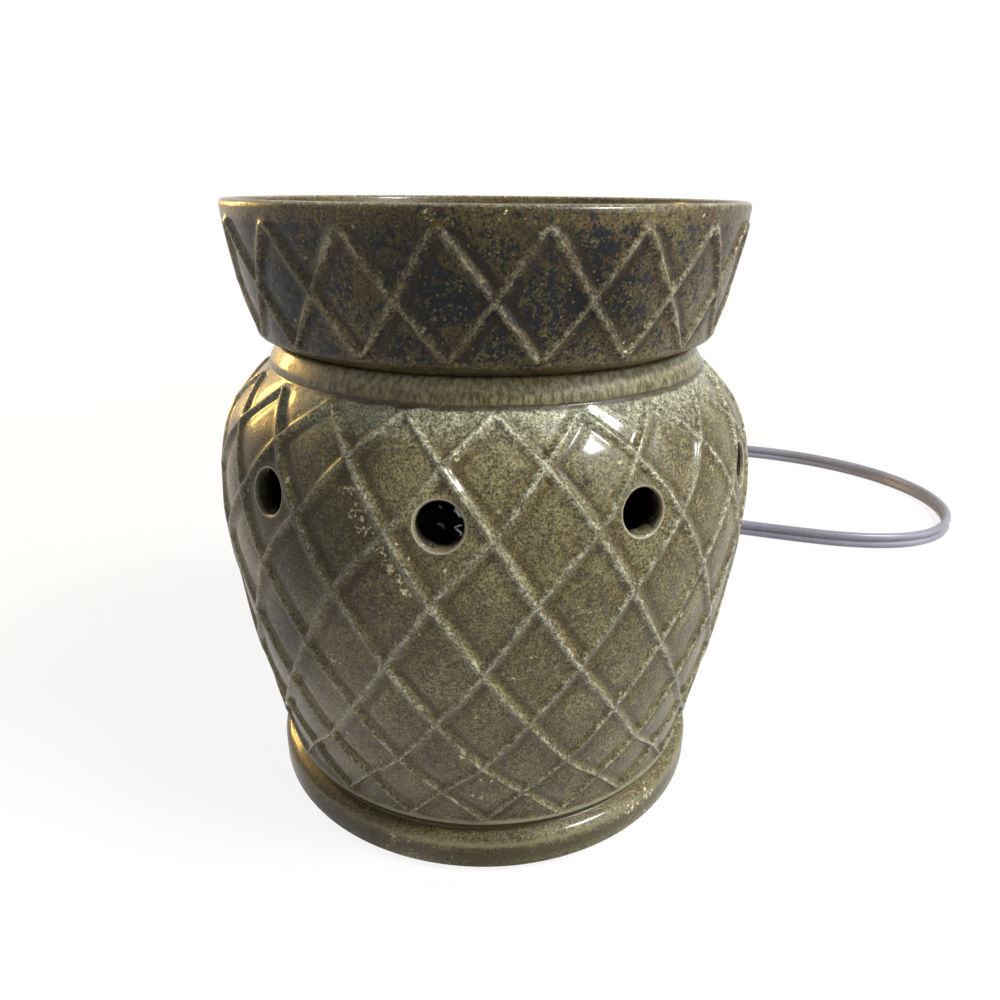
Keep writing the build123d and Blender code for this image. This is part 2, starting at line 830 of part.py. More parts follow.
# Screw cap of thin metal
with BuildPart() as lamp_cap:
    with BuildSketch(Plane.XZ):
        with BuildLine():
            Polyline(
                (lamp_insulator_low_radius, cap_bottom),
                (lamp_insulator_top_radius, cap_bottom),
                (lamp_cap_radius, cap_bottom + lamp_cap_lip),
                (lamp_cap_radius, cap_top),
                (lamp_cap_radius - lamp_cap_wall, cap_top),
                (lamp_cap_radius - lamp_cap_wall, cap_bottom + lamp_cap_lip),
                (lamp_insulator_top_radius - lamp_cap_wall, cap_bottom + lamp_cap_wall),
                (lamp_insulator_low_radius, cap_bottom + lamp_cap_wall),
                close=True,
            )
        make_face()
    revolve(axis=Axis.Z)
lamp_cap.part.label = "lamp_cap"
export_step(lamp_cap.part, "parts/lamp_cap.step")

# Clear glass: a neck that swells into a round globe
neck_span = globe_centre - cap_top
glass_curve = [(lamp_neck_radius, neck_bottom)]
glass_curve += [(lamp_neck_radius * r, cap_top + neck_span * h) for r, h in lamp_shoulder_shares]
glass_curve += [(lamp_globe_radius, globe_centre)]
inner_glass_curve = inward(glass_curve, lamp_glass_wall)
with BuildPart() as lamp_glass:
    with BuildSketch(Plane.XZ):
        with BuildLine():
            Spline(*glass_curve, tangents=[(0, 1), (0, 1)])
            RadiusArc((lamp_globe_radius, globe_centre), (0, lamp_top), -lamp_globe_radius)
            Line((0, lamp_top), (0, lamp_top - lamp_glass_wall))
            RadiusArc(
                (0, lamp_top - lamp_glass_wall),
                (lamp_globe_radius - lamp_glass_wall, globe_centre),
                lamp_globe_radius - lamp_glass_wall,
            )
            Spline(
                (lamp_globe_radius - lamp_glass_wall, globe_centre),
                *inner_glass_curve[::-1],
                (lamp_neck_radius - lamp_glass_wall, neck_bottom),
                tangents=[(0, -1), (0, -1)],
            )
            Line((lamp_neck_radius - lamp_glass_wall, neck_bottom), (lamp_neck_radius, neck_bottom))
        make_face()
    revolve(axis=Axis.Z)
lamp_glass.part.label = "lamp_glass"
export_step(lamp_glass.part, "parts/lamp_glass.step")

# Glass stem that closes the neck and carries the wires
stem_top = neck_bottom + lamp_length * stem_height_share
with BuildPart() as lamp_stem:
    with BuildSketch(Plane.XZ):
        with BuildLine():
            Polyline(
                (0, neck_bottom),
                (stem_flare_radius, neck_bottom),
                (stem_flare_radius, neck_bottom + stem_flare_height),
                (stem_root_radius, neck_bottom + stem_flare_height * 2),
                (stem_top_radius, stem_top),
                (0, stem_top),
                close=True,
            )
        make_face()
    revolve(axis=Axis.Z)
lamp_stem.part.label = "lamp_stem"
export_step(lamp_stem.part, "parts/lamp_stem.step")

# Two wires that stand on the stem and hold the filament's ends
wire_tip = stem_top + support_wire_gap + lamp_length * support_wire_height_share
with BuildPart() as lamp_wires:
    for side in (-1, 1):
        foot_point = Vector(side * support_wire_start, 0, stem_top + support_wire_gap)
        tip_point = Vector(side * support_wire_spread, 0, wire_tip)
        with BuildSketch(Plane(foot_point, z_dir=tip_point - foot_point)):
            Circle(support_wire_radius)
        extrude(amount=(tip_point - foot_point).length)
lamp_wires.part.label = "lamp_wires"
export_step(lamp_wires.part, "parts/lamp_wires.step")

# Filament, arched between the two wires
filament_foot = wire_tip + filament_radius + filament_end_gap + support_wire_radius
with BuildPart() as lamp_filament:
    with BuildLine():
        filament_path = ThreePointArc(
            (-support_wire_spread, 0, filament_foot),
            (0, 0, filament_foot + filament_rise),
            (support_wire_spread, 0, filament_foot),
        )
    with BuildSketch(Plane(filament_path @ 0, z_dir=filament_path % 0)):
        Circle(filament_radius)
    sweep()
lamp_filament.part.label = "lamp_filament"
export_step(lamp_filament.part, "parts/lamp_filament.step")

# Tapered sleeve that grips the wall on both sides and guides the cord out
sleeve_inner_end = -body_wall - sleeve_inner_gap - sleeve_flange_thickness
sleeve_root = sleeve_outer_gap + sleeve_flange_thickness
with BuildPart() as cord_sleeve:
    with BuildSketch(outlet_plane.offset(sleeve_inner_end)):
        Circle(sleeve_flange_radius)
    extrude(amount=sleeve_flange_thickness)
    with BuildSketch(outlet_plane.offset(sleeve_inner_end)):
        Circle(outlet_radius - sleeve_neck_clearance)
    extrude(amount=sleeve_root - sleeve_inner_end)
    with BuildSketch(outlet_plane.offset(sleeve_outer_gap)):
        Circle(sleeve_flange_radius)
    extrude(amount=sleeve_flange_thickness)
    with BuildSketch(outlet_plane.offset(sleeve_root)):
        Circle(sleeve_root_radius)
    with BuildSketch(outlet_plane.offset(sleeve_length)):
        Circle(sleeve_tip_radius)
    loft()
    for groove in range(sleeve_groove_count):
        along = sleeve_root + (sleeve_length - sleeve_root) * (groove + 1) / (sleeve_groove_count + 1)
        narrowing = (sleeve_root_radius - sleeve_tip_radius) * (groove + 1) / (sleeve_groove_count + 1)
        with BuildSketch(outlet_plane.offset(along)):
            Circle(sleeve_flange_radius)
            Circle(sleeve_root_radius - narrowing - sleeve_groove_depth, mode=Mode.SUBTRACT)
        extrude(amount=sleeve_groove_width / 2, both=True, mode=Mode.SUBTRACT)
cord_sleeve.part.label = "cord_sleeve"
export_step(cord_sleeve.part, "parts/cord_sleeve.step")

# The two leads from the sleeve to the lampholder
lead_start = outlet_plane.offset(sleeve_inner_end).origin
for side, lead_name in ((-1, "lead_left"), (1, "lead_right")):
    first = lead_start + Vector(side * lead_half_spacing, 0, 0)
    second = first - outlet_direction * lead_straight_length
    lead_route = [
        first,
        second,
        Vector(side * lead_terminal_offset, lead_bend_distance, terminal_z),
        Vector(side * lead_terminal_offset, lead_end_offset, terminal_z),
    ]
    with BuildPart() as lead:
        with BuildLine():
            lead_path = FilletPolyline(*lead_route, radius=cord_radii(lead_route))
        with BuildSketch(Plane(lead_path @ 0, z_dir=lead_path % 0)):
            Circle(lead_radius)
        sweep()
    lead.part.label = lead_name
    export_step(lead.part, f"parts/{lead_name}.step")
    print(lead_name, "radii", [round(r, 1) for r in cord_radii(lead_route)])

# Cord from the sleeve to the switch: over the table in one loose loop
cord_start = outlet_plane.offset(sleeve_length).origin
switch_right = switch_centre_x + switch_length / 2
switch_left = switch_centre_x - switch_length / 2
near_route = [
    tuple(cord_start),
    tuple(cord_start + outlet_direction * cord_first_run),
    (3.5, 109.0, 12.4),
    (12.0, 122.5, 6.2),
    (24.5, 136.0, 3.9),
    (42.0, 148.0, cord_height),
    (66.0, 154.5, cord_height),
    (93.0, 151.5, cord_height),
    (121.0, 141.5, cord_height),
    (150.0, 130.5, cord_height),
    (177.5, 122.0, cord_height),
    (203.0, 121.5, cord_height),
    (224.0, 131.0, cord_height),
    (238.0, 149.5, cord_height),
    (243.0, 173.0, cord_height),
    (238.5, 197.0, cord_height),
    (226.0, 219.0, cord_height),
    (207.0, 237.5, cord_height),
    (183.5, 251.5, cord_height),
    (157.5, 260.5, cord_height),
    (134.0, 265.0, 4.2),
    (116.0, switch_centre_y, switch_seam_height),
    (switch_right, switch_centre_y, switch_seam_height),
]
with BuildPart() as cord_near:
    with BuildLine():
        near_path = FilletPolyline(*near_route, radius=cord_radii(near_route))
    with BuildSketch(Plane(near_path @ 0, z_dir=near_path % 0)):
        Circle(cord_tube_radius)
    sweep()
cord_near.part.label = "cord_near"
export_step(cord_near.part, "parts/cord_near.step")
print("cord_near radii", [round(r, 1) for r in cord_radii(near_route)])
tell_tube("cord_near", cord_near.part, near_path, cord_area)

# Coil of the spare length, wound anticlockwise in two layers
coil_step = coil_pitch / 2
coil_left = coil_centre_x - coil_outer_radius
coil_start = (coil_left, coil_centre_y, coil_height)
with BuildPart() as cord_coil:
    with BuildLine() as coil_line:
        coil_end = Vector(*coil_start)
        side = 1
        half_turn_radii = [coil_outer_radius - coil_step * k for k in range(coil_half_turns + 1)]
        half_turn_radii += half_turn_radii[-2::-1]
        for index, radius in enumerate(half_turn_radii):
            climb = coil_layer_step if index == coil_half_turns else 0
            across = sqrt(4 * radius**2 - climb**2)
            middle = coil_end + Vector(side * across / 2, -side * radius, climb / 2)
            finish = coil_end + Vector(side * across, 0, climb)
            ThreePointArc(coil_end, middle, finish)
            coil_end = finish
            side = -side
    coil_path = coil_line.wire()
    with BuildSketch(Plane(coil_start, z_dir=(0, -1, 0))):
        Circle(cord_tube_radius)
    sweep(path=coil_path)
cord_coil.part.label = "cord_coil"
export_step(cord_coil.part, "parts/cord_coil.step")
print("cord_coil radii", [round(r, 1) for r in half_turn_radii])
tell_tube("cord_coil", cord_coil.part, coil_path, cord_area)

# Cord from the switch to the coil
far_route = [
    (switch_left, switch_centre_y, switch_seam_height),
    (35.0, switch_centre_y, switch_seam_height),
    (14.0, 265.3, 4.2),
    (-9.5, 260.5, cord_height),
    (-32.0, 251.5, cord_height),
    (-52.0, 238.0, cord_height),
    (-67.5, 219.5, 4.1),
    (coil_left, 197.0, coil_height),
    coil_start,
]
with BuildPart() as cord_far:
    with BuildLine():
        far_path = FilletPolyline(*far_route, radius=cord_radii(far_route))
    with BuildSketch(Plane(far_path @ 0, z_dir=far_path % 0)):
        Circle(cord_tube_radius)
    sweep()
cord_far.part.label = "cord_far"
export_step(cord_far.part, "parts/cord_far.step")
print("cord_far radii", [round(r, 1) for r in cord_radii(far_route)])
tell_tube("cord_far", cord_far.part, far_path, cord_area)

# Plug on the table beside the coil, and the last of the cord down to it
plug_axis = Vector(cos(radians(plug_heading)), sin(radians(plug_heading)), 0)
plug_plane = Plane(
    origin=(plug_x, plug_y, plug_height / 2),
    x_dir=(sin(radians(plug_heading)), -cos(radians(plug_heading)), 0),
    z_dir=plug_axis,
)
end_route = [
    tuple(coil_end),
    *[tuple(coil_end + Vector(*offset)) for offset in cord_end_offsets],
    tuple(plug_plane.origin - plug_axis * plug_entry_run),
    tuple(plug_plane.origin),
]
with BuildPart() as cord_end:
    with BuildLine():
        end_path = FilletPolyline(*end_route, radius=cord_radii(end_route))
    with BuildSketch(Plane(end_path @ 0, z_dir=end_path % 0)):
        Circle(cord_tube_radius)
    sweep()
cord_end.part.label = "cord_end"
export_step(cord_end.part, "parts/cord_end.step")
print("cord_end points", [tuple(round(c, 1) for c in p) for p in end_route])
print("cord_end radii", [round(r, 1) for r in cord_radii(end_route)])
tell_tube("cord_end", cord_end.part, end_path, cord_area)

with BuildPart() as plug_body:
    with BuildSketch(plug_plane):
        RectangleRounded(plug_rear_width, plug_rear_height, plug_rear_round)
    with BuildSketch(plug_plane.offset(plug_taper_length)):
        RectangleRounded(plug_width, plug_height, plug_round)
    loft()
    with BuildSketch(plug_plane.offset(plug_taper_length)):
        RectangleRounded(plug_width, plug_height, plug_round)
    extrude(amount=plug_body_length)
    plug_line = Axis(plug_plane.origin, plug_axis)
    fillet(plug_body.faces().sort_by(plug_line)[-1].edges(), plug_face_round)
    face_plane = plug_plane.offset(plug_taper_length + plug_body_length)
    with BuildSketch(face_plane):
        with GridLocations(blade_spacing, 0, 2, 1):
            Rectangle(blade_thickness + blade_clearance * 2, blade_width + blade_clearance * 2)
    extrude(amount=-blade_inset, mode=Mode.SUBTRACT)
plug_body.part.label = "plug_body"
export_step(plug_body.part, "parts/plug_body.step")

with BuildPart() as plug_blades:
    with BuildSketch(face_plane.offset(-blade_inset)):
        with GridLocations(blade_spacing, 0, 2, 1):
            Rectangle(blade_thickness, blade_width)
    extrude(amount=blade_inset + blade_length)
    chamfer(plug_blades.edges().group_by(plug_line)[-1], blade_tip_chamfer)
    hole_centre = face_plane.origin + plug_axis * (blade_length - blade_hole_setback)
    with BuildSketch(Plane(origin=hole_centre, z_dir=plug_plane.x_dir)):
        Circle(blade_hole_radius)
    extrude(amount=blade_spacing, both=True, mode=Mode.SUBTRACT)
plug_blades.part.label = "plug_blades"
export_step(plug_blades.part, "parts/plug_blades.step")

# Tie round the turns of the coil, at its side nearest the body
bundle_inner = half_turn_radii[coil_half_turns - 1] - cord_tube_radius - tie_clearance
bundle_outer = coil_outer_radius + cord_tube_radius + tie_clearance
tie_low = tie_foot_gap
tie_high = coil_height + coil_layer_step + cord_height + tie_clearance + tie_thickness
tie_x = coil_centre_x + coil_step
tie_y = coil_centre_y - (bundle_inner + bundle_outer) / 2
bundle_width = bundle_outer - bundle_inner
tie_height = tie_high - tie_low
tie_inner_height = tie_height - tie_thickness * 2
tie_inner_corner_radius = tie_corner_radius - tie_thickness
with BuildPart() as coil_tie:
    with BuildSketch(Plane((tie_x, tie_y, tie_low + tie_height / 2), x_dir=(0, 1, 0), z_dir=(1, 0, 0))):
        RectangleRounded(bundle_width + tie_thickness * 2, tie_height, tie_corner_radius)
        RectangleRounded(bundle_width, tie_inner_height, tie_inner_corner_radius, mode=Mode.SUBTRACT)
    extrude(amount=tie_width / 2, both=True)
coil_tie.part.label = "coil_tie"
export_step(coil_tie.part, "parts/coil_tie.step")

# Switch: two moulded halves that part at the cord's middle
wheel_centre = (switch_centre_x, switch_centre_y + wheel_offset)
switch_inner_length = switch_length - switch_wall * 2
switch_inner_breadth = switch_breadth - switch_wall * 2
wheel_low = switch_seam_height - wheel_height / 2
wheel_high = switch_seam_height + wheel_height / 2
with BuildPart() as switch_base:
    with BuildSketch(Plane((switch_centre_x, switch_centre_y, 0))):
        RectangleRounded(switch_length, switch_breadth, switch_corner_round)
    extrude(amount=switch_seam_height)
    fillet(switch_base.edges().group_by(Axis.Z)[0], switch_edge_round)
    with BuildSketch(Plane((switch_centre_x, switch_centre_y, switch_wall))):
        RectangleRounded(switch_inner_length, switch_inner_breadth, switch_corner_round - switch_wall)
    extrude(amount=switch_seam_height, mode=Mode.SUBTRACT)
    with BuildSketch(Plane((*wheel_centre, wheel_low - wheel_gap))):
        Circle(wheel_radius + wheel_gap)
    extrude(amount=switch_seam_height, mode=Mode.SUBTRACT)
    with BuildSketch(Plane((*wheel_centre, switch_wall))):
        Circle(axle_boss_radius)
    extrude(amount=wheel_low - axle_boss_gap - switch_wall)
    with BuildSketch(Plane((*wheel_centre, switch_wall - axle_seat_depth))):
        Circle(axle_radius + thread_clearance)
    extrude(amount=switch_seam_height, mode=Mode.SUBTRACT)
    with BuildSketch(Plane((switch_centre_x, switch_centre_y, switch_wall))):
        with GridLocations(switch_screw_offset * 2, 0, 2, 1):
            Circle(switch_boss_radius)
    extrude(amount=switch_seam_height - switch_wall)
    with BuildSketch(Plane((switch_centre_x, switch_centre_y, 0))):
        with GridLocations(switch_screw_offset * 2, 0, 2, 1):
            Circle(switch_screw_radius + screw_hole_clearance)
    extrude(amount=switch_seam_height, mode=Mode.SUBTRACT)
    with BuildSketch(Plane((switch_centre_x, switch_centre_y, 0))):
        with GridLocations(switch_screw_offset * 2, 0, 2, 1):
            Circle(switch_screw_head_radius + screw_hole_clearance)
    extrude(amount=switch_screw_head_height + screw_hole_clearance, mode=Mode.SUBTRACT)
switch_base.part.label = "switch_base"
export_step(switch_base.part, "parts/switch_base.step")

with BuildPart() as switch_cover:
    with BuildSketch(Plane((switch_centre_x, switch_centre_y, switch_seam_height))):
        RectangleRounded(switch_length, switch_breadth, switch_corner_round)
    extrude(amount=switch_height - switch_seam_height)
    fillet(switch_cover.edges().group_by(Axis.Z)[-1], switch_edge_round)
    with BuildSketch(Plane((switch_centre_x, switch_centre_y, switch_seam_height))):
        RectangleRounded(switch_inner_length, switch_inner_breadth, switch_corner_round - switch_wall)
    extrude(amount=switch_height - switch_seam_height - switch_wall, mode=Mode.SUBTRACT)
    with BuildSketch(Plane((*wheel_centre, switch_seam_height))):
        Circle(wheel_radius + wheel_gap)
    extrude(amount=wheel_height / 2 + wheel_gap, mode=Mode.SUBTRACT)
    with BuildSketch(Plane((*wheel_centre, switch_height - switch_wall))):
        Circle(axle_boss_radius)
    extrude(amount=-(switch_height - switch_wall - wheel_high - axle_boss_gap))
    with BuildSketch(Plane((*wheel_centre, switch_height - switch_wall + axle_seat_depth))):
        Circle(axle_radius + thread_clearance)
    extrude(amount=-switch_height + switch_seam_height, mode=Mode.SUBTRACT)
    with BuildSketch(Plane((switch_centre_x, switch_centre_y, switch_seam_height))):
        with GridLocations(switch_screw_offset * 2, 0, 2, 1):
            Circle(switch_boss_radius)
    extrude(amount=switch_height - switch_seam_height - switch_wall)
    with BuildSketch(Plane((switch_centre_x, switch_centre_y, switch_seam_height))):
        with GridLocations(switch_screw_offset * 2, 0, 2, 1):
            Circle(switch_screw_radius + thread_clearance)
    extrude(amount=switch_screw_depth - switch_screw_head_height, mode=Mode.SUBTRACT)
switch_cover.part.label = "switch_cover"
export_step(switch_cover.part, "parts/switch_cover.step")

# Thumbwheel with a notched edge, on an axle between the halves
with BuildPart() as switch_wheel:
    with BuildSketch(Plane((*wheel_centre, wheel_low))):
        Circle(wheel_radius)
        Circle(axle_radius + wheel_bore_clearance, mode=Mode.SUBTRACT)
        with PolarLocations(wheel_radius, wheel_notch_count):
            Circle(wheel_notch_radius, mode=Mode.SUBTRACT)
    extrude(amount=wheel_height)
switch_wheel.part.label = "switch_wheel"
export_step(switch_wheel.part, "parts/switch_wheel.step")

with BuildPart() as switch_axle:
    with BuildSketch(Plane((*wheel_centre, switch_wall - axle_seat_depth))):
        Circle(axle_radius)
    extrude(amount=switch_height - switch_wall * 2 + axle_seat_depth * 2)
switch_axle.part.label = "switch_axle"
export_step(switch_axle.part, "parts/switch_axle.step")

# Two screws from below
with BuildPart() as switch_screws:
    with BuildSketch(Plane((switch_centre_x, switch_centre_y, screw_hole_clearance))):
        with GridLocations(switch_screw_offset * 2, 0, 2, 1):
            Circle(switch_screw_head_radius)
    extrude(amount=switch_screw_head_height)
    with BuildSketch(Plane((switch_centre_x, switch_centre_y, screw_hole_clearance))):
        with GridLocations(switch_screw_offset * 2, 0, 2, 1):
            Circle(switch_screw_radius)
    extrude(amount=switch_screw_head_height + switch_screw_depth)
switch_screws.part.label = "switch_screws"
export_step(switch_screws.part, "parts/switch_screws.step")

# Two brass strips that the wheel's cam joins and parts
with BuildPart() as switch_contacts:
    with BuildSketch(Plane((switch_centre_x, switch_centre_y - strip_offset, switch_wall))):
        with GridLocations(strip_length + strip_spacing / 2, 0, 2, 1):
            Rectangle(strip_length, strip_thickness)
    extrude(amount=strip_width)
switch_contacts.part.label = "switch_contacts"
export_step(switch_contacts.part, "parts/switch_contacts.step")

# Least gap between the coil's turns, measured on points of its line more than a half turn apart
samples = 720
places = [coil_path @ (k / samples) for k in range(samples + 1)]
apart = int(samples * coil_outer_radius * 2 / coil_path.length)
closest = min(
    (places[j] - places[i]).length for i in range(samples + 1) for j in range(i + apart, samples + 1)
)
print(f"least gap between turns of the coil: {closest - cord_tube_radius * 2:.2f}")
whole = near_path.length + far_path.length + coil_path.length + end_path.length
print(f"cord from sleeve to plug: {whole:.0f}, of which coil {coil_path.length:.0f}")
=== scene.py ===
from math import asin, atan2, cos, exp, floor, hypot, pi, radians, sin, sqrt, tan

import bmesh
import bpy
from mathutils import Matrix, Vector, noise


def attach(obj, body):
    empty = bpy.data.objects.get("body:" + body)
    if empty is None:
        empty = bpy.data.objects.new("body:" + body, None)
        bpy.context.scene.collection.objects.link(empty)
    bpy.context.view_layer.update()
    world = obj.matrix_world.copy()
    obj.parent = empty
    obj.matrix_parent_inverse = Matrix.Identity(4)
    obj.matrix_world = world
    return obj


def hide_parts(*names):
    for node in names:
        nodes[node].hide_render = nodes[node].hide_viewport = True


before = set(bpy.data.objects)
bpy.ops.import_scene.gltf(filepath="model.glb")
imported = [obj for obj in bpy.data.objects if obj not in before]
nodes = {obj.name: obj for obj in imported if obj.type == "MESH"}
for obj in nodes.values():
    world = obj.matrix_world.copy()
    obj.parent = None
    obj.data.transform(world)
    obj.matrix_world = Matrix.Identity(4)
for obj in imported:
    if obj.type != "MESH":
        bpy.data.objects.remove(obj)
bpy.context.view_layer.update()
scene = bpy.context.scene
scene.view_settings.view_transform = "Standard"

# Camera
# A phone held 14 cm in front of the body, 3 mm over the height of the dish's rim and looking down at
# the body, so that only a strip inside the back rim is seen, and the foot from above.
image_side = 1000
sensor_width = 36
nearest_seen = 0.01
focal_pixels = 778.0
phone_place = Vector((-0.00426, -0.20541, 0.15777))
phone_yaw = 0.0397
phone_pitch = 0.3832
phone_roll = -0.0083
camera_data = bpy.data.cameras.new("phone_camera")
camera_data.sensor_width = sensor_width
camera_data.lens = sensor_width * focal_pixels / image_side
camera_data.clip_start = nearest_seen
camera = bpy.data.objects.new("phone_camera", camera_data)
scene.collection.objects.link(camera)
ahead = Vector((sin(phone_yaw) * cos(phone_pitch), cos(phone_yaw) * cos(phone_pitch), -sin(phone_pitch)))
level_right = Vector((cos(phone_yaw), -sin(phone_yaw), 0))
level_down = ahead.cross(level_right)
right = level_right * cos(phone_roll) + level_down * sin(phone_roll)
down = level_down * cos(phone_roll) - level_right * sin(phone_roll)
turned = Matrix((right, -down, -ahead)).transposed().to_4x4()
camera.matrix_world = Matrix.Translation(phone_place) @ turned
scene.camera = camera


# Table top and room
# A pale table in a white room. The camera and all reflections see both white. Near the body a share of
# the table's own shade is seen too, so that the soft shadow is kept, and farther out it fades.
table_side = 6.0
table_white = 0.62
table_glow = 0.86
glow_level = 1.02
fade_start = 0.30
fade_end = 0.85
room_light = 0.26


def add_node(tree, kind, inputs=None, **settings):
    """Adds a node, sets its properties, and gives its inputs values or links."""
    node = tree.nodes.new(kind)
    for name, value in settings.items():
        setattr(node, name, value)
    for name, value in (inputs or {}).items():
        if isinstance(value, bpy.types.NodeSocket):
            tree.links.new(value, node.inputs[name])
        else:
            node.inputs[name].default_value = value
    return node


def new_material(name):
    """An empty node material with its output node."""
    material = bpy.data.materials.new(name)
    material.use_nodes = True
    material.node_tree.nodes.clear()
    output = material.node_tree.nodes.new("ShaderNodeOutputMaterial")
    return material, material.node_tree, output


def seen_ray(tree):
    """1 for what the camera, a reflection or clear glass shows, 0 for light that falls on things."""
    path = add_node(tree, "ShaderNodeLightPath")
    inputs = {0: path.outputs["Is Camera Ray"], 1: path.outputs["Is Glossy Ray"]}
    seen = add_node(tree, "ShaderNodeMath", inputs, operation="MAXIMUM")
    inputs = {0: seen.outputs[0], 1: path.outputs["Is Transmission Ray"]}
    return add_node(tree, "ShaderNodeMath", inputs, operation="MAXIMUM").outputs[0]


table_mesh = bpy.data.meshes.new("table_top")
shape = bmesh.new()
bmesh.ops.create_grid(shape, x_segments=1, y_segments=1, size=table_side / 2)
shape.to_mesh(table_mesh)
shape.free()
table_top = bpy.data.objects.new("table_top", table_mesh)
scene.collection.objects.link(table_top)
table_paint, tree, output = new_material("white_table")
matt = add_node(tree, "ShaderNodeBsdfDiffuse", {"Color": (table_white,) * 3 + (1,)})
glow = add_node(tree, "ShaderNodeEmission", {"Color": (1, 1, 1, 1), "Strength": glow_level})
spot = add_node(tree, "ShaderNodeTexCoord").outputs["Object"]
away = add_node(tree, "ShaderNodeVectorMath", {0: spot}, operation="LENGTH").outputs["Value"]
share = {"Value": away, "From Min": fade_start, "From Max": fade_end, "To Min": table_glow, "To Max": 1.0}
share = add_node(tree, "ShaderNodeMapRange", share, interpolation_type="SMOOTHSTEP")
share = add_node(tree, "ShaderNodeMath", {0: seen_ray(tree), 1: share.outputs[0]}, operation="MULTIPLY")
blend = add_node(tree, "ShaderNodeMixShader", {0: share.outputs[0], 1: matt.outputs[0], 2: glow.outputs[0]})
tree.links.new(blend.outputs[0], output.inputs["Surface"])
table_mesh.materials.append(table_paint)

room = bpy.data.worlds.new("white_room")
room.use_nodes = True
room.node_tree.nodes.clear()
tree = room.node_tree
strength = add_node(tree, "ShaderNodeMapRange", {0: seen_ray(tree), 3: room_light, 4: 1.0})
background = add_node(tree, "ShaderNodeBackground", {"Color": (1, 1, 1, 1), "Strength": strength.outputs[0]})
output = add_node(tree, "ShaderNodeOutputWorld", {"Surface": background.outputs[0]})
scene.world = room


# Lights
# A window high on the right, a wide soft wall beside it, a faint soft light on the left, and a small
# warm lamp low behind on the left. Each points at the middle of the body.
body_middle = Vector((0, 0, 0.09))
lights = [
    ("window", (0.563, -0.264, 0.783), 1.3, (0.30, 0.22), 23.0, (1.0, 1.0, 1.0)),
    ("soft_right", (0.80, -0.45, 0.35), 1.5, (1.0, 1.0), 9.0, (0.98, 0.99, 1.0)),
    ("soft_left", (-0.75, -0.45, 0.48), 1.4, (1.1, 1.1), 0.4, (1.0, 0.98, 0.94)),
    ("warm_lamp", (-0.766, 0.570, 0.285), 0.8, (0.10, 0.26), 4.4, (1.0, 0.62, 0.16)),
]
for name, direction, distance, size, power, colour in lights:
    lamp = bpy.data.lights.new(name, "AREA")
    lamp.shape = "RECTANGLE"
    lamp.size, lamp.size_y = size
    lamp.energy = power
    lamp.color = colour
    holder = bpy.data.objects.new(name, lamp)
    holder.location = body_middle + Vector(direction).normalized() * distance
    holder.rotation_euler = Vector(direction).to_track_quat("Z", "Y").to_euler()
    scene.collection.objects.link(holder)


# Dish
# A flared stoneware dish for the wax, slip-cast in a mould that has one row of tall diamonds between
# raised ribs. A ring under it drops into the body's mouth. Its glaze breaks pale on the ribs.
mm = 0.001
diamonds_round = 20
half_column = pi / diamonds_round
rib_height = 0.72 * mm
cell_depth = 0.26 * mm
groove_depth = 0.18 * mm
groove_place = 0.15
groove_width = 0.055
cell_crown = 0.34 * mm
row_fade = 0.07
rib_sharpness = 0.8
crossing_rise = 0.12
deep_side = 1.3
shallow_side = 0.3
liveliness = 0.30
liveliness_pitch = (5, 1.6)
wander_pitch = (2.2, 0.7)
side_parts = 16
crowding = 0.62
round_step = radians(18)
least_span = 1e-9
weld_reach = 1e-6
snap_reach = 1e-5


def add_piece(name, bm, body, materials):
    """Makes a mesh object of a bmesh, rides it on a body and gives it its materials."""
    mesh = bpy.data.meshes.new(name)
    bm.to_mesh(mesh)
    bm.free()
    for material in materials:
        mesh.materials.append(material)
    mesh.shade_smooth()
    piece = bpy.data.objects.new(name, mesh)
    scene.collection.objects.link(piece)
    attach(piece, body)
    return piece


def curve_at(points, place):
    """A smooth curve through (place, value) points in rising order."""
    last = len(points) - 1
    index = 0
    while index < last - 1 and place > points[index + 1][0]:
        index += 1
    before, low, high, after = [points[min(max(index + k, 0), last)] for k in (-1, 0, 1, 2)]
    span = high[0] - low[0]
    share = min(max((place - low[0]) / span, 0), 1)
    leave = (high[1] - before[1]) / max(high[0] - before[0], least_span) * span
    arrive = (after[1] - low[1]) / max(after[0] - low[0], least_span) * span
    square, cube = share**2, share**3
    return (
        low[1] * (2 * cube - 3 * square + 1) + leave * (cube - 2 * square + share)
        + high[1] * (3 * square - 2 * cube) + arrive * (cube - square)
    )


def fade(value, start, end):
    """0 before start, 1 after end, and smooth between them."""
    share = min(max((value - start) / (end - start), 0), 1)
    return share * share * (3 - 2 * share)


def rounded(corners):
    """Points of a profile in radius and height, its corners rounded: (radius, height, round)."""
    points = []
    for index, (radius, height, bend) in enumerate(corners):
        here = Vector((radius, height))
        if bend == 0 or index in (0, len(corners) - 1):
            points.append(tuple(here))
            continue
        back = (Vector(corners[index - 1][:2]) - here).normalized()
        forth = (Vector(corners[index + 1][:2]) - here).normalized()
        half_angle = back.angle(forth) / 2
        reach = bend / tan(half_angle)
        centre = here + (back + forth).normalized() * bend / sin(half_angle)
        start, end = here + back * reach - centre, here + forth * reach - centre
        turn = start.angle_signed(end)
        steps = max(3, round(abs(turn) / round_step))
        for step in range(steps + 1):
            arm = start.copy()
            arm.rotate(Matrix.Rotation(-turn * step / steps, 2))
            points.append(tuple(centre + arm))
    return points


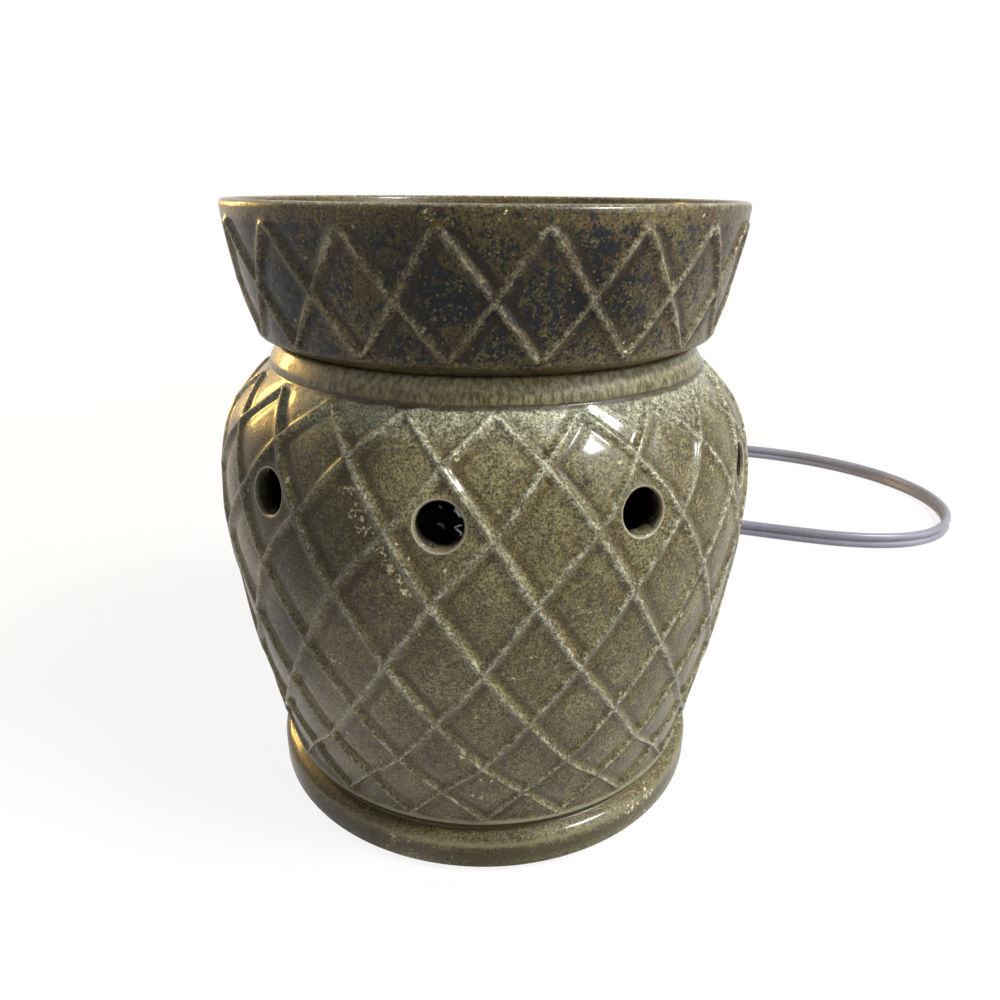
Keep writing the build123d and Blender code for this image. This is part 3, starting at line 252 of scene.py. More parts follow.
def lattice_wedge(first_row, last_row):
    """One column of an unrolled lattice, x in half columns and y in rows, finest near the ribs."""
    wide = (last_row - first_row) / 2 + 1
    bm = bmesh.new()
    rows = bm.verts.layers.float.new("row")
    parts = round(side_parts * wide)
    bmesh.ops.create_grid(bm, x_segments=parts, y_segments=parts, size=wide / 2)
    for vert in bm.verts:
        strands = []
        for place, start in ((vert.co.x, first_row), (vert.co.y, -last_row)):
            count = place + wide / 2 + (start - 1) / 2
            whole = floor(count + weld_reach)
            part = count - whole
            strands.append(whole + part - crowding * sin(2 * pi * part) / (2 * pi))
        vert.co = Vector((strands[0] + strands[1], strands[0] - strands[1], 0))
    for edge, way in (
        ((-1, 0, 0), (-1, 0, 0)), ((1, 0, 0), (1, 0, 0)),
        ((0, first_row, 0), (0, -1, 0)), ((0, last_row, 0), (0, 1, 0)),
    ):
        bmesh.ops.bisect_plane(
            bm, geom=bm.verts[:] + bm.edges[:] + bm.faces[:], dist=snap_reach,
            plane_co=edge, plane_no=way, clear_outer=True, use_snap_center=True,
        )
    for vert in bm.verts:
        vert[rows] = vert.co.y
    return bm, rows


def roll_up(bm, rows, radius_at, height_at):
    """Rolls the unrolled column round the axis and repeats it to a full ring."""
    for vert in bm.verts:
        angle = vert.co.x * half_column
        height = height_at(vert[rows])
        radius = radius_at(height)
        vert.co = Vector((radius * sin(angle), -radius * cos(angle), height))
    bmesh.ops.spin(
        bm, geom=bm.verts[:] + bm.edges[:] + bm.faces[:], cent=(0, 0, 0), axis=(0, 0, 1),
        dvec=(0, 0, 0), angle=2 * pi, steps=diamonds_round, use_duplicate=True,
    )
    bmesh.ops.remove_doubles(bm, verts=bm.verts[:], dist=weld_reach)


def end_loop(bm, height):
    """The open edges that lie at one height."""
    return [
        edge for edge in bm.edges
        if edge.is_boundary and all(abs(vert.co.z - height) < snap_reach for vert in edge.verts)
    ]


def verts_of(edges):
    """The vertices of some edges."""
    return {vert for edge in edges for vert in edge.verts}


def grow_ring(bm, edges):
    """Extrudes an open ring of edges, and returns the new ring."""
    grown = bmesh.ops.extrude_edge_only(bm, edges=edges)["geom"]
    return [item for item in grown if isinstance(item, bmesh.types.BMEdge) and item.is_boundary]


def grow_rings(bm, edges, profile):
    """Extrudes an open ring of edges from point to point of a profile. Returns the last ring."""
    for radius, height in profile:
        edges = grow_ring(bm, edges)
        for vert in verts_of(edges):
            flat = Vector((vert.co.x, vert.co.y, 0)).normalized() * radius
            vert.co = Vector((flat.x, flat.y, height))
    return edges


def wall_noise(angle, row, pitch):
    """Smooth noise on the wall, its pitch given round the axis and over the rows."""
    return noise.noise(Vector((sin(angle) * pitch[0], cos(angle) * pitch[0], row * pitch[1])))


def rib_relief(angle, row, edge_fade, wander, rib_half_width):
    """Height over the smooth wall, and shares of rib, groove and crown at a place of the lattice."""
    across = angle / half_column + wander * wall_noise(angle, row, wander_pitch)
    ribs, gaps, groove = [], [], 0
    for sign in (1, -1):
        strand = (across + sign * row) / 2
        part = strand - floor(strand)
        near = min(part, 1 - part)
        gaps.append(near)
        ribs.append((0.5 + 0.5 * cos(pi * min(near / rib_half_width, 1))) ** rib_sharpness)
        # Painted shade: the groove, and with it the dark groove colour, is strongest on one side of each rib,
        # along the cells' left edges where the rib's shade falls; the rest is glaze pooled in the groove.
        side = deep_side if part < 0.5 else shallow_side
        groove = max(groove, side * exp(-(((near - groove_place) / groove_width) ** 2)))
    rib = max(ribs) + crossing_rise * min(ribs)
    away = 1 - max(ribs)
    crown = (4 * gaps[0] * (1 - gaps[0]) * 4 * gaps[1] * (1 - gaps[1])) ** rib_sharpness
    lively = 1 + liveliness * wall_noise(angle, row, liveliness_pitch)
    cushion = cell_crown * crown - cell_depth - groove * groove_depth
    height = rib * rib_height * lively + away * cushion
    return height * edge_fade, min(rib, 1) * edge_fade, groove * away * edge_fade, crown * away


dish_rim_height = 155.0 * mm
dish_rim_radius = 63.0 * mm
dish_lattice_top = 151.6 * mm
dish_lattice_bottom = 125.7 * mm
dish_middle_row = 138.0 * mm
dish_wall_foot = (57.30 * mm, dish_lattice_bottom)
dish_wall_head = (62.66 * mm, dish_lattice_top)
dish_rib_wander = 0.10
dish_rib_half_width = 0.095
dish_rows = [(-1, dish_lattice_top), (0, dish_middle_row), (1, dish_lattice_bottom)]


def close_ring(bm, edges, height):
    """Draws a ring together into one point on the axis."""
    bmesh.ops.pointmerge(bm, verts=list(verts_of(edges)), merge_co=(0, 0, height))


def dish_radius(height):
    """Outer radius of the dish's flared wall."""
    share = (height - dish_wall_foot[1]) / (dish_wall_head[1] - dish_wall_foot[1])
    return dish_wall_foot[0] + (dish_wall_head[0] - dish_wall_foot[0]) * share


dish_shape, row_layer = lattice_wedge(-1, 1)
roll_up(dish_shape, row_layer, dish_radius, lambda row: curve_at(dish_rows, row))
dish_profile = rounded([
    (*dish_wall_head, 0),
    (62.70 * mm, 152.6 * mm, 0),
    (dish_rim_radius, dish_rim_height, 1.3 * mm),
    (59.70 * mm, dish_rim_height, 1.3 * mm),
    (53.40 * mm, 127.4 * mm, 8.0 * mm),
    (0.50 * mm, 127.4 * mm, 0),
])
under_profile = rounded([
    (*dish_wall_foot, 0),
    (57.10 * mm, 125.0 * mm, 0.6 * mm),
    (51.60 * mm, 122.3 * mm, 0.5 * mm),
    (48.90 * mm, 122.3 * mm, 0.5 * mm),
    (48.60 * mm, 117.5 * mm, 0.9 * mm),
    (45.60 * mm, 117.5 * mm, 0.9 * mm),
    (45.30 * mm, 121.9 * mm, 0.9 * mm),
    (0.50 * mm, 121.9 * mm, 0),
])
for profile in (dish_profile, under_profile):
    last_ring = grow_rings(dish_shape, end_loop(dish_shape, profile[0][1]), profile[1:])
    close_ring(dish_shape, last_ring, profile[-1][1])


def number(tree, operation, first, second=0.5, third=None, clamp=False):
    """A math node's result."""
    inputs = {0: first, 1: second}
    if third is not None:
        inputs[2] = third
    return add_node(tree, "ShaderNodeMath", inputs, operation=operation, use_clamp=clamp).outputs[0]


def band(tree, value, low, high, to_low=0.0, to_high=1.0):
    """A value brought smoothly from low to high onto another range."""
    inputs = {"Value": value, "From Min": low, "From Max": high, "To Min": to_low, "To Max": to_high}
    return add_node(tree, "ShaderNodeMapRange", inputs, interpolation_type="SMOOTHSTEP").outputs[0]


def colour_mix(tree, factor, first, second, blend="MIX"):
    """Two colours mixed by a factor."""
    inputs = {0: factor, 6: first, 7: second}
    return add_node(tree, "ShaderNodeMix", inputs, data_type="RGBA", blend_type=blend).outputs[2]


def scaled(tree, colour, factor):
    """A colour times a number."""
    inputs = {0: colour, "Scale": factor}
    return add_node(tree, "ShaderNodeVectorMath", inputs, operation="SCALE").outputs[0]


def grain(tree, place, scale, detail=2.0, roughness=0.55):
    """A noise value from 0 to 1, scale in features a metre."""
    inputs = {"Vector": place, "Scale": scale, "Detail": detail, "Roughness": roughness}
    return add_node(tree, "ShaderNodeTexNoise", inputs).outputs["Fac"]


def stretched(tree, place, stretch, shift=(0, 0, 0)):
    """Object coordinates stretched and shifted, so that two noises differ."""
    inputs = {"Vector": place, "Scale": stretch, "Location": shift}
    return add_node(tree, "ShaderNodeMapping", inputs).outputs[0]


def new_group(name, colours, values):
    """A shader group with colour and number inputs, that gives a colour, a roughness and a height.
    Returns it with its inputs and its output node."""
    group = bpy.data.node_groups.new(name, "ShaderNodeTree")
    for labels, kind in ((colours, "Color"), (values, "Float")):
        for label in labels:
            group.interface.new_socket(label, in_out="INPUT", socket_type=f"NodeSocket{kind}")
    for label, kind in (("Color", "Color"), ("Roughness", "Float"), ("Height", "Float")):
        group.interface.new_socket(label, in_out="OUTPUT", socket_type=f"NodeSocket{kind}")
    return group, group.nodes.new("NodeGroupInput").outputs, group.nodes.new("NodeGroupOutput")


def give(tree, result, colour, rough, height):
    """Links what a group gives."""
    for label, value in (("Color", colour), ("Roughness", rough), ("Height", height)):
        tree.links.new(value, result.inputs[label])


def group_node(tree, group, inputs):
    """A group's node in a material, with values or links on its inputs."""
    node = tree.nodes.new("ShaderNodeGroup")
    node.node_tree = group
    for label, value in inputs.items():
        if isinstance(value, bpy.types.NodeSocket):
            tree.links.new(value, node.inputs[label])
        else:
            node.inputs[label].default_value = value
    return node


def add_surface(tree, output, node, colour, depth, more):
    """Adds the shader of a material, which takes its roughness and relief from a group's node."""
    bump = add_node(tree, "ShaderNodeBump", {"Height": node.outputs["Height"], "Distance": depth})
    shader = add_node(tree, "ShaderNodeBsdfPrincipled", {
        "Base Color": colour, "Roughness": node.outputs["Roughness"], "Normal": bump.outputs[0], **more,
    })
    tree.links.new(shader.outputs[0], output.inputs["Surface"])


tree, given, result = new_group(
    "stoneware_glaze",
    ("Ground", "Rib Colour", "Groove Pool And Shade Colour", "Patch Colour", "Rust Colour", "Pale Colour", "Pit Colour"),
    ("Rib", "Groove", "Crown", "Pits", "Painted_Shade", "Pale", "Patches", "Rust"),
)
glaze_group = tree
here = add_node(tree, "ShaderNodeTexCoord").outputs["Object"]
fine = grain(tree, here, 2000.0, 2.0, 0.75)
medium = grain(tree, here, 620.0, 3.0, 0.70)
broad = grain(tree, here, 62.0, 3.0, 0.5)
cloud = grain(tree, stretched(tree, here, (1, 1, 1), (0.3, 0.1, 0.2)), 105.0, 4.0, 0.62)
dark_ground = colour_mix(tree, 1.0, given["Ground"], (0.74, 0.72, 0.64, 1), "MULTIPLY")
light_ground = colour_mix(tree, 1.0, given["Ground"], (1.22, 1.24, 1.22, 1), "MULTIPLY")
colour = colour_mix(tree, band(tree, broad, 0.32, 0.68), dark_ground, light_ground)
rust_place = number(tree, "MULTIPLY", band(tree, cloud, 0.50, 0.66), given["Rust"], clamp=True)
colour = colour_mix(tree, rust_place, colour, given["Rust Colour"])
ragged = number(tree, "SUBTRACT", medium, 0.5)
specks = grain(tree, stretched(tree, here, (1, 1, 1), (0.5, 0.2, 0.7)), 800.0, 3.0, 0.75)
patch_edge = number(tree, "MULTIPLY_ADD", given["Crown"], 0.24, cloud)
patch_edge = number(tree, "MULTIPLY_ADD", number(tree, "SUBTRACT", specks, 0.5), 2.2, patch_edge)
# More dark patches come where shade is painted.
patch_edge = number(tree, "MULTIPLY_ADD", given["Painted_Shade"], 0.20, patch_edge)
patch_place = band(tree, patch_edge, 0.72, 0.84)
patch_place = number(tree, "MULTIPLY", patch_place, given["Patches"], clamp=True)
colour = colour_mix(tree, patch_place, colour, given["Patch Colour"])
# Pooled glaze and painted shade: dark colour laid in the grooves beside the ribs, strongest on one side of
# each rib.
pool_and_shade = number(tree, "MULTIPLY_ADD", ragged, 1.2, given["Groove"])
pool_and_shade = number(tree, "MULTIPLY", band(tree, pool_and_shade, 0.15, 0.95), band(tree, broad, 0.30, 0.70, 0.50, 1.0))
colour = colour_mix(tree, pool_and_shade, colour, given["Groove Pool And Shade Colour"])
thin = number(tree, "MULTIPLY_ADD", ragged, 2.2, given["Rib"])
thin = number(tree, "MULTIPLY", band(tree, thin, 0.38, 1.15), band(tree, cloud, 0.34, 0.60, 0.30, 1.0))
colour = colour_mix(tree, thin, colour, given["Rib Colour"])
pale_edge = number(tree, "MULTIPLY_ADD", ragged, 0.9, given["Pale"])
pale_place = number(tree, "MULTIPLY", band(tree, pale_edge, 0.15, 0.85), given["Pale"], clamp=True)
colour = colour_mix(tree, pale_place, colour, given["Pale Colour"])
warped = number(tree, "MULTIPLY", ragged, 0.0022)
pit_space = add_node(tree, "ShaderNodeVectorMath", {0: here, 1: warped}, operation="ADD").outputs[0]
cells = add_node(tree, "ShaderNodeTexVoronoi", {"Vector": pit_space, "Scale": 850.0})
pick = add_node(tree, "ShaderNodeSeparateColor", {0: cells.outputs["Color"]}).outputs[0]
pit_round = band(tree, cells.outputs["Distance"], 0.28, 0.48, 1.0, 0.0)
pit_share = number(tree, "MULTIPLY_ADD", pick, 0.8, given["Pits"])
pit = number(tree, "MULTIPLY", pit_round, band(tree, pit_share, 0.96, 1.02))
blotch_edge = number(tree, "MULTIPLY_ADD", given["Pits"], 0.36, specks)
blotch = band(tree, given["Pits"], 0.20, 0.32)
blotch = number(tree, "MULTIPLY", band(tree, blotch_edge, 0.66, 0.72), blotch)
pit = number(tree, "MAXIMUM", pit, blotch, clamp=True)
colour = colour_mix(tree, pit, colour, given["Pit Colour"])
# Painted shade: the glaze colour is darkened where the stored shade mark lies.
painted_shade = number(tree, "MULTIPLY_ADD", ragged, 0.8, given["Painted_Shade"])
painted_shade = band(tree, painted_shade, 0.05, 1.10, 1.0, 0.42)
colour = scaled(tree, colour, painted_shade)
sand = band(tree, fine, 0.34, 0.66, 0.36, 1.72)
sand = number(tree, "MULTIPLY", sand, band(tree, medium, 0.34, 0.66, 0.74, 1.26))
colour = scaled(tree, colour, sand)
dots = add_node(tree, "ShaderNodeTexVoronoi", {"Vector": here, "Scale": 1300.0})
dot_pick = add_node(tree, "ShaderNodeSeparateColor", {0: dots.outputs["Color"]})
dot = band(tree, dots.outputs["Distance"], 0.25, 0.45, 1.0, 0.0)
dark_dot = number(tree, "MULTIPLY", dot, band(tree, dot_pick.outputs[0], 0.80, 0.84, 0.0, 0.75))
colour = colour_mix(tree, dark_dot, colour, (0.012, 0.009, 0.004, 1))
ochre_dot = number(tree, "MULTIPLY", dot, band(tree, dot_pick.outputs[1], 0.90, 0.93, 0.0, 0.45))
colour = colour_mix(tree, ochre_dot, colour, (0.26, 0.19, 0.075, 1))
rough = number(tree, "MULTIPLY_ADD", pit, 0.25, band(tree, medium, 0.32, 0.68, 0.30, 0.50))
height = number(tree, "MULTIPLY", medium, 0.55)
height = number(tree, "MULTIPLY_ADD", fine, 0.35, height)
height = number(tree, "MULTIPLY_ADD", pit, -0.7, height)
give(tree, result, colour, rough, height)


def attribute(tree, name):
    """A value that was stored on the mesh."""
    return add_node(tree, "ShaderNodeAttribute", attribute_name=name).outputs["Fac"]


glaze_depth = 0.16 * mm


def glaze_material(name, pale, inputs, bands=None):
    """A glaze of the group above with its own colours. pale gives the places where it thins, and bands
    lays coloured bands over it."""
    material, tree, output = new_material(name)
    marks = {label: attribute(tree, label.lower()) for label in ("Rib", "Groove", "Crown", "Pits", "Painted_Shade")}
    glaze = group_node(tree, glaze_group, {**inputs, **marks, "Pale": pale(tree)})
    colour = bands(tree, glaze.outputs["Color"]) if bands else glaze.outputs["Color"]
    # The coat also thins where the shade is painted.
    coat = band(tree, marks["Painted_Shade"], 0.0, 0.8, 0.28, 0.05)
    more = {"Specular IOR Level": 0.20, "Coat Weight": coat, "Coat Roughness": 0.11}
    add_surface(tree, output, glaze, colour, glaze_depth, more)
    return material


def place_and_level(tree):
    """The place on the piece, and its height."""
    place = add_node(tree, "ShaderNodeTexCoord").outputs["Object"]
    return place, add_node(tree, "ShaderNodeSeparateXYZ", {0: place}).outputs[2]


def height_band(tree, low, high, to_low=0.0, to_high=1.0):
    """A value that changes with the height of the place on the piece."""
    return band(tree, place_and_level(tree)[1], low, high, to_low, to_high)


def dish_pale(tree):
    """The glaze thins on the rim's edge."""
    return height_band(tree, 154.0 * mm, 154.8 * mm, 0.0, 0.55)


dish_glaze = glaze_material("dish_glaze", dish_pale, {
    "Ground": (0.076, 0.058, 0.021, 1),
    "Rib Colour": (0.205, 0.186, 0.116, 1),
    "Groove Pool And Shade Colour": (0.020, 0.012, 0.003, 1),
    "Patch Colour": (0.006, 0.008, 0.012, 1),
    "Rust Colour": (0.066, 0.032, 0.008, 1),
    "Pale Colour": (0.34, 0.31, 0.18, 1),
    "Pit Colour": (0.52, 0.44, 0.26, 1),
    "Patches": 1.0,
    "Rust": 0.8,
})


slope_step = 0.4 * mm
row_end = 1e-4


def carve(bm, row_layer, radius_at, first_row, last_row, wander, width_at, turn_at=None, calm_at=None):
    """Raises the ribs over a smooth wall, and stores where ribs, grooves and crowns lie."""
    layers = [bm.verts.layers.float.new(name) for name in ("rib", "groove", "crown")]
    for vert in bm.verts:
        row = vert[row_layer]
        if not first_row + row_end < row < last_row - row_end:
            continue
        edge_fade = fade(row, first_row, first_row + row_fade) * fade(-row, -last_row, row_fade - last_row)
        if calm_at:
            edge_fade *= calm_at(vert.co)
        angle = atan2(vert.co.x, -vert.co.y)
        turn = turn_at(vert.co.z) if turn_at else 0
        height, *marks = rib_relief(angle - turn, row, edge_fade, wander, width_at(row))
        for layer, mark in zip(layers, marks):
            vert[layer] = mark
        rise = (radius_at(vert.co.z + slope_step) - radius_at(vert.co.z - slope_step)) / (2 * slope_step)
        vert.co += Vector((sin(angle), -cos(angle), -rise)).normalized() * height


def store_near(bm, name, places, everywhere, most):
    """Stores a value that is most at the given places and falls off round them: (place, reach)."""
    layer = bm.verts.layers.float.new(name)
    centres = [(Vector(place) * mm, reach * mm) for place, reach in places]
    for vert in bm.verts:
        share = max(exp(-((vert.co - centre).length / reach) ** 2) for centre, reach in centres)
        vert[layer] = max(share * most, everywhere)


dish_pit_places = [((-11.0, -61.0, 153.0), 1.6), ((1.5, -62.5, 153.2), 1.6), ((27.0, -51.0, 128.0), 2.0)]
# Painted shade and painted highlight on the dish: its front and left are darkened, so that its right side
# reads as lit by the window.
dish_painted_shade_places = [
    ((-8.0, -61.0, 139.0), 26.0),
    ((20.0, -58.0, 139.0), 13.0),
    ((-42.0, -45.0, 139.0), 18.0),
]
few_pits = 0.19
most_pits = 0.5
dish_painted_shade = 0.85
store_near(dish_shape, "pits", dish_pit_places, few_pits, most_pits)
store_near(dish_shape, "painted_shade", dish_painted_shade_places, 0, dish_painted_shade)
carve(dish_shape, row_layer, dish_radius, -1, 1, dish_rib_wander, lambda row: dish_rib_half_width)
bmesh.ops.recalc_face_normals(dish_shape, faces=dish_shape.faces[:])
glazed_dish = add_piece("glazed_dish", dish_shape, "dish", [dish_glaze])
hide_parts("wax_dish")


# Body
# A round-bellied stoneware shell on a bead foot, cast with the same lattice from its collar to the
# groove over its foot. In one row on the shoulder, every second cell has a round light hole. It is
# hollow, and its glaze is smooth and dark inside.
body_wall = 4.0 * mm
waist_height = 11.9 * mm
neck_height = 116.0 * mm
belly_radius = 69.3 * mm
belly_shares = [
    (0.838, 0.0),
    (0.882, 0.133),
    (0.951, 0.374),
    (0.996, 0.618),
    (1.0, 0.712),
    (0.973, 0.842),
    (0.929, 0.913),
    (0.869, 0.963),
    (0.812, 1.0),
]
belly_curve = [
    (waist_height + (neck_height - waist_height) * rise, belly_radius * wide) for wide, rise in belly_shares
]
body_rows = [
    (0, neck_height),
    (1, 107.3 * mm),
    (2, 94.0 * mm),
    (3, 79.5 * mm),
    (4, 62.5 * mm),
    (5, 47.5 * mm),
    (6, 34.0 * mm),
    (7, 24.8 * mm),
    (8, 14.5 * mm),
]
lattice_foot = body_rows[-1][1]
body_rib_wander = 0.05
upper_rib_half_width = 0.090
lower_rib_half_width = 0.066
narrowing_rows = (2, 6)
lower_turn = radians(-2)
turn_start = 100 * mm
turn_end = 78 * mm
light_holes = 10
light_hole_height = 96.4 * mm
light_hole_first = radians(-9)
light_hole_mouth = 5.6 * mm
light_hole_edge = [
    (5.42 * mm, 0.05 * mm), (5.15 * mm, 0.20 * mm), (4.96 * mm, 0.48 * mm), (4.90 * mm, 0.95 * mm),
]
inner_hole_mouth = 5.1 * mm
inner_ring_step = 1.2 * mm
inner_ring_wide_step = 4.0 * mm
hole_zone = 9.5 * mm
hole_ease = 3 * mm
hole_hold = 1 * mm
calm_start = 0.1 * mm
calm_end = 1.5 * mm
easing_rounds = 4
easing_share = 0.5
ring_weld = 2e-6
on_wall_reach = 0.02 * mm
edge_pale = 1
edge_half_pale = 0.45
edge_rub = 0.4
edge_rub_width = 0.9 * mm
halvings = 24


def body_radius(height):
    """Outer radius of the body's smooth wall."""
    return curve_at(belly_curve, height)


def inner_points():
    """The body's outer curve moved inwards by the wall."""
    points = []
    for before, place, after in zip(belly_curve[:-2], belly_curve[1:-1], belly_curve[2:]):
        slope = atan2(after[0] - before[0], after[1] - before[1])
        points.append((place[0] + body_wall * cos(slope), place[1] - body_wall * sin(slope)))
    return points


inner_curve = inner_points()


def inner_radius(height):
    """Inner radius of the body's wall."""
    return curve_at(inner_curve, height)


def rib_width_at(row):
    """Half the width of a rib, in cells, which is less in the lower rows."""
    narrowing = fade(row, *narrowing_rows)
    return upper_rib_half_width + (lower_rib_half_width - upper_rib_half_width) * narrowing


def lower_rows_turn(height):
    """The lower rows of the lattice lie a little round from the upper ones."""
    return lower_turn * fade(-height, -turn_start, -turn_end)


def nearest_hole(angle):
    """Angle of the light hole nearest to an angle."""
    step = 2 * pi / light_holes
    return light_hole_first + step * round((angle - light_hole_first) / step)


def hole_distance(place):
    """Distance of a place on the wall from the nearest light hole's axis."""
    angle = atan2(place.x, -place.y)
    reach = hypot(place.x, place.y)
    return hypot(reach * sin(angle - nearest_hole(angle)), place.z - light_hole_height)


def open_hole(bm, angle, radius, wall_at):
    """Opens a round hole in one wall. Returns its edge, and what reads and sets a place round it."""
    outward = Vector((sin(angle), -cos(angle), 0))
    aside = Vector((cos(angle), sin(angle), 0))

    def offset(place):
        return Vector((place.dot(aside), place.z - light_hole_height))

    def put(vert, flat, depth=0.0):
        level = light_hole_height + flat.y
        reach = sqrt(wall_at(level) ** 2 - flat.x**2) - depth
        vert.co = aside * flat.x + outward * reach + Vector((0, 0, level))

    near = [
        vert for vert in bm.verts
        if vert.co.dot(outward) > 0
        and offset(vert.co).length < radius + hole_ease
        and abs(hypot(vert.co.x, vert.co.y) - wall_at(vert.co.z)) < body_wall / 3
    ]
    inside = {face for vert in near for face in vert.link_faces}
    inside = [face for face in inside if offset(face.calc_center_median()).length < radius]
    rim = {edge for face in inside for edge in face.edges}
    bmesh.ops.delete(bm, geom=inside, context="FACES")
    rim = [edge for edge in rim if edge.is_valid and edge.is_boundary]
    circle = verts_of(rim)
    for vert in circle:
        put(vert, offset(vert.co).normalized() * radius)
    loose = [vert for vert in near if vert.is_valid and vert not in circle]
    for _ in range(easing_rounds):
        for vert in loose:
            flat = offset(vert.co)
            total = sum((offset(edge.other_vert(vert).co) for edge in vert.link_edges), Vector((0, 0)))
            hold = fade(flat.length, radius + hole_ease, radius + hole_hold)
            put(vert, flat.lerp(total / len(vert.link_edges), easing_share * hold))
    return rim, offset, put


body_shape, row_layer = lattice_wedge(0, 8)
roll_up(body_shape, row_layer, body_radius, lambda row: curve_at(body_rows, row))
collar_profile = rounded([
    (body_radius(neck_height), neck_height, 0),
    (55.20 * mm, 116.9 * mm, 0.4 * mm),
    (55.00 * mm, 118.6 * mm, 3.0 * mm),
    (52.80 * mm, 122.3 * mm, 1.1 * mm),
    (49.70 * mm, 122.3 * mm, 0.8 * mm),
    (49.70 * mm, 113.7 * mm, 0),
])
inside_profile = []
level = inner_curve[-1][0]
while level > inner_curve[0][0]:
    inside_profile.append((inner_radius(level), level))
    fine_zone = abs(level - light_hole_height) < hole_zone
    level -= inner_ring_step if fine_zone else inner_ring_wide_step
floor_profile = [
    (53.5 * mm, 10.2 * mm),
    (44.0 * mm, 10.2 * mm),
    (44.0 * mm, 6.0 * mm),
    (56.9 * mm, 6.0 * mm),
]
foot_profile = rounded([
    (56.90 * mm, 1.2 * mm, 0),
    (61.20 * mm, 1.2 * mm, 1.2 * mm),
    (61.20 * mm, 9.4 * mm, 2.8 * mm),
    (57.50 * mm, 10.7 * mm, 0.5 * mm),
    (57.80 * mm, 12.2 * mm, 0.6 * mm),
    (59.10 * mm, 13.3 * mm, 0.6 * mm),
    (body_radius(lattice_foot), lattice_foot, 0),
])
grow_rings(
    body_shape, end_loop(body_shape, neck_height),
    collar_profile[1:] + inside_profile + floor_profile + foot_profile,
)
bmesh.ops.remove_doubles(body_shape, verts=body_shape.verts[:], dist=ring_weld)
for vert in body_shape.verts:
    vert.co.rotate(Matrix.Rotation(lower_rows_turn(vert.co.z), 3, "Z"))
edge_layer = body_shape.verts.layers.float.new("edge")
for index in range(light_holes):
    hole_angle = light_hole_first + 2 * pi * index / light_holes
    inner_rim, _, _ = open_hole(body_shape, hole_angle, inner_hole_mouth, inner_radius)
    for vert in verts_of(inner_rim):
        vert[edge_layer] = edge_half_pale
    rim, offset, put = open_hole(body_shape, hole_angle, light_hole_mouth, body_radius)
    for reach, depth in light_hole_edge:
        rim = grow_ring(body_shape, rim)
        for vert in verts_of(rim):
            put(vert, offset(vert.co).normalized() * reach, depth)
            vert[edge_layer] = edge_pale if reach > light_hole_edge[1][0] else edge_half_pale
    bmesh.ops.bridge_loops(body_shape, edges=rim + inner_rim)
for vert in body_shape.verts:
    on_wall = abs(hypot(vert.co.x, vert.co.y) - body_radius(vert.co.z)) < on_wall_reach
    if on_wall and abs(vert.co.z - light_hole_height) < hole_zone:
        beyond = hole_distance(vert.co) - light_hole_mouth
        vert[edge_layer] = edge_rub * fade(-beyond, -edge_rub_width, 0)
        low, high = 0.0, body_rows[-1][0]
        for _ in range(halvings):
            middle = (low + high) / 2
            if curve_at(body_rows, middle) > vert.co.z:
                low = middle
            else:
                high = middle
        vert[row_layer] = low


def stripe(tree, low, high, soft):
    """1 between two heights on the piece, and 0 outside them."""
    place, level = place_and_level(tree)
    ragged = number(tree, "MULTIPLY_ADD", grain(tree, place, 260.0), 1.2 * mm, level)
    over = band(tree, ragged, low - soft, low + soft)
    under = band(tree, ragged, high - soft, high + soft, 1.0, 0.0)
    return number(tree, "MULTIPLY", over, under)


# Lower height, upper height and fade in mm, strength, colour
body_stripes = [
    # The first stripe is a painted shadow in the crease under the collar.
    (116.9, 118.0, 0.25, 0.85, (0.026, 0.016, 0.004, 1)),
    (11.0, 13.2, 0.3, 0.7, (0.048, 0.040, 0.014, 1)),
    (13.6, 14.8, 0.3, 0.75, (0.20, 0.20, 0.125, 1)),
    (4.4, 7.6, 0.9, 0.75, (0.040, 0.031, 0.009, 1)),
    (8.5, 9.6, 0.5, 0.6, (0.18, 0.17, 0.10, 1)),
]


def body_pale(tree):
    """The glaze thins on the shoulder."""
    shoulder = height_band(tree, 104 * mm, 116.5 * mm, 0.0, 0.62)
    collar = height_band(tree, 116.6 * mm, 117.4 * mm, 1.0, 0.0)
    return number(tree, "MULTIPLY", shoulder, collar)


def body_bands(tree, colour):
    """Brown fibres run down the collar. The edges of the light holes are pale. A painted shadow darkens the
    line under the collar; the groove and a band round the foot are darker, and paler glaze lies on the two
    beads."""
    place = add_node(tree, "ShaderNodeTexCoord").outputs["Object"]
    fibres = grain(tree, stretched(tree, place, (1, 1, 0.10)), 1000.0, 3.0, 0.7)
    fibre_shade = band(tree, fibres, 0.38, 0.64)
    lower = colour_mix(tree, fibre_shade, (0.050, 0.038, 0.010, 1), (0.195, 0.172, 0.086, 1))
    upper = colour_mix(tree, fibre_shade, (0.115, 0.101, 0.046, 1), (0.275, 0.258, 0.165, 1))
    fibre_colour = colour_mix(tree, height_band(tree, 119.0 * mm, 120.6 * mm), lower, upper)
    collar = height_band(tree, 117.0 * mm, 118.2 * mm)
    colour = colour_mix(tree, collar, colour, fibre_colour)
    edge = band(tree, attribute(tree, "edge"), 0.25, 1.0, 0.0, 0.8)
    colour = colour_mix(tree, edge, colour, (0.36, 0.33, 0.24, 1))
    for low, high, soft, share, paint in body_stripes:
        place = stripe(tree, low * mm, high * mm, soft * mm)
        colour = colour_mix(tree, number(tree, "MULTIPLY", place, share), colour, paint)
    return colour


body_glaze = glaze_material("body_glaze", body_pale, {
    "Ground": (0.112, 0.096, 0.043, 1),
    "Rib Colour": (0.235, 0.232, 0.165, 1),
    "Groove Pool And Shade Colour": (0.054, 0.038, 0.009, 1),
    "Patch Colour": (0.030, 0.027, 0.014, 1),
    "Rust Colour": (0.100, 0.064, 0.020, 1),
    "Pale Colour": (0.33, 0.35, 0.25, 1),
    "Pit Colour": (0.62, 0.54, 0.34, 1),
    "Patches": 0.5,
    "Rust": 0.5,
}, bands=body_bands)


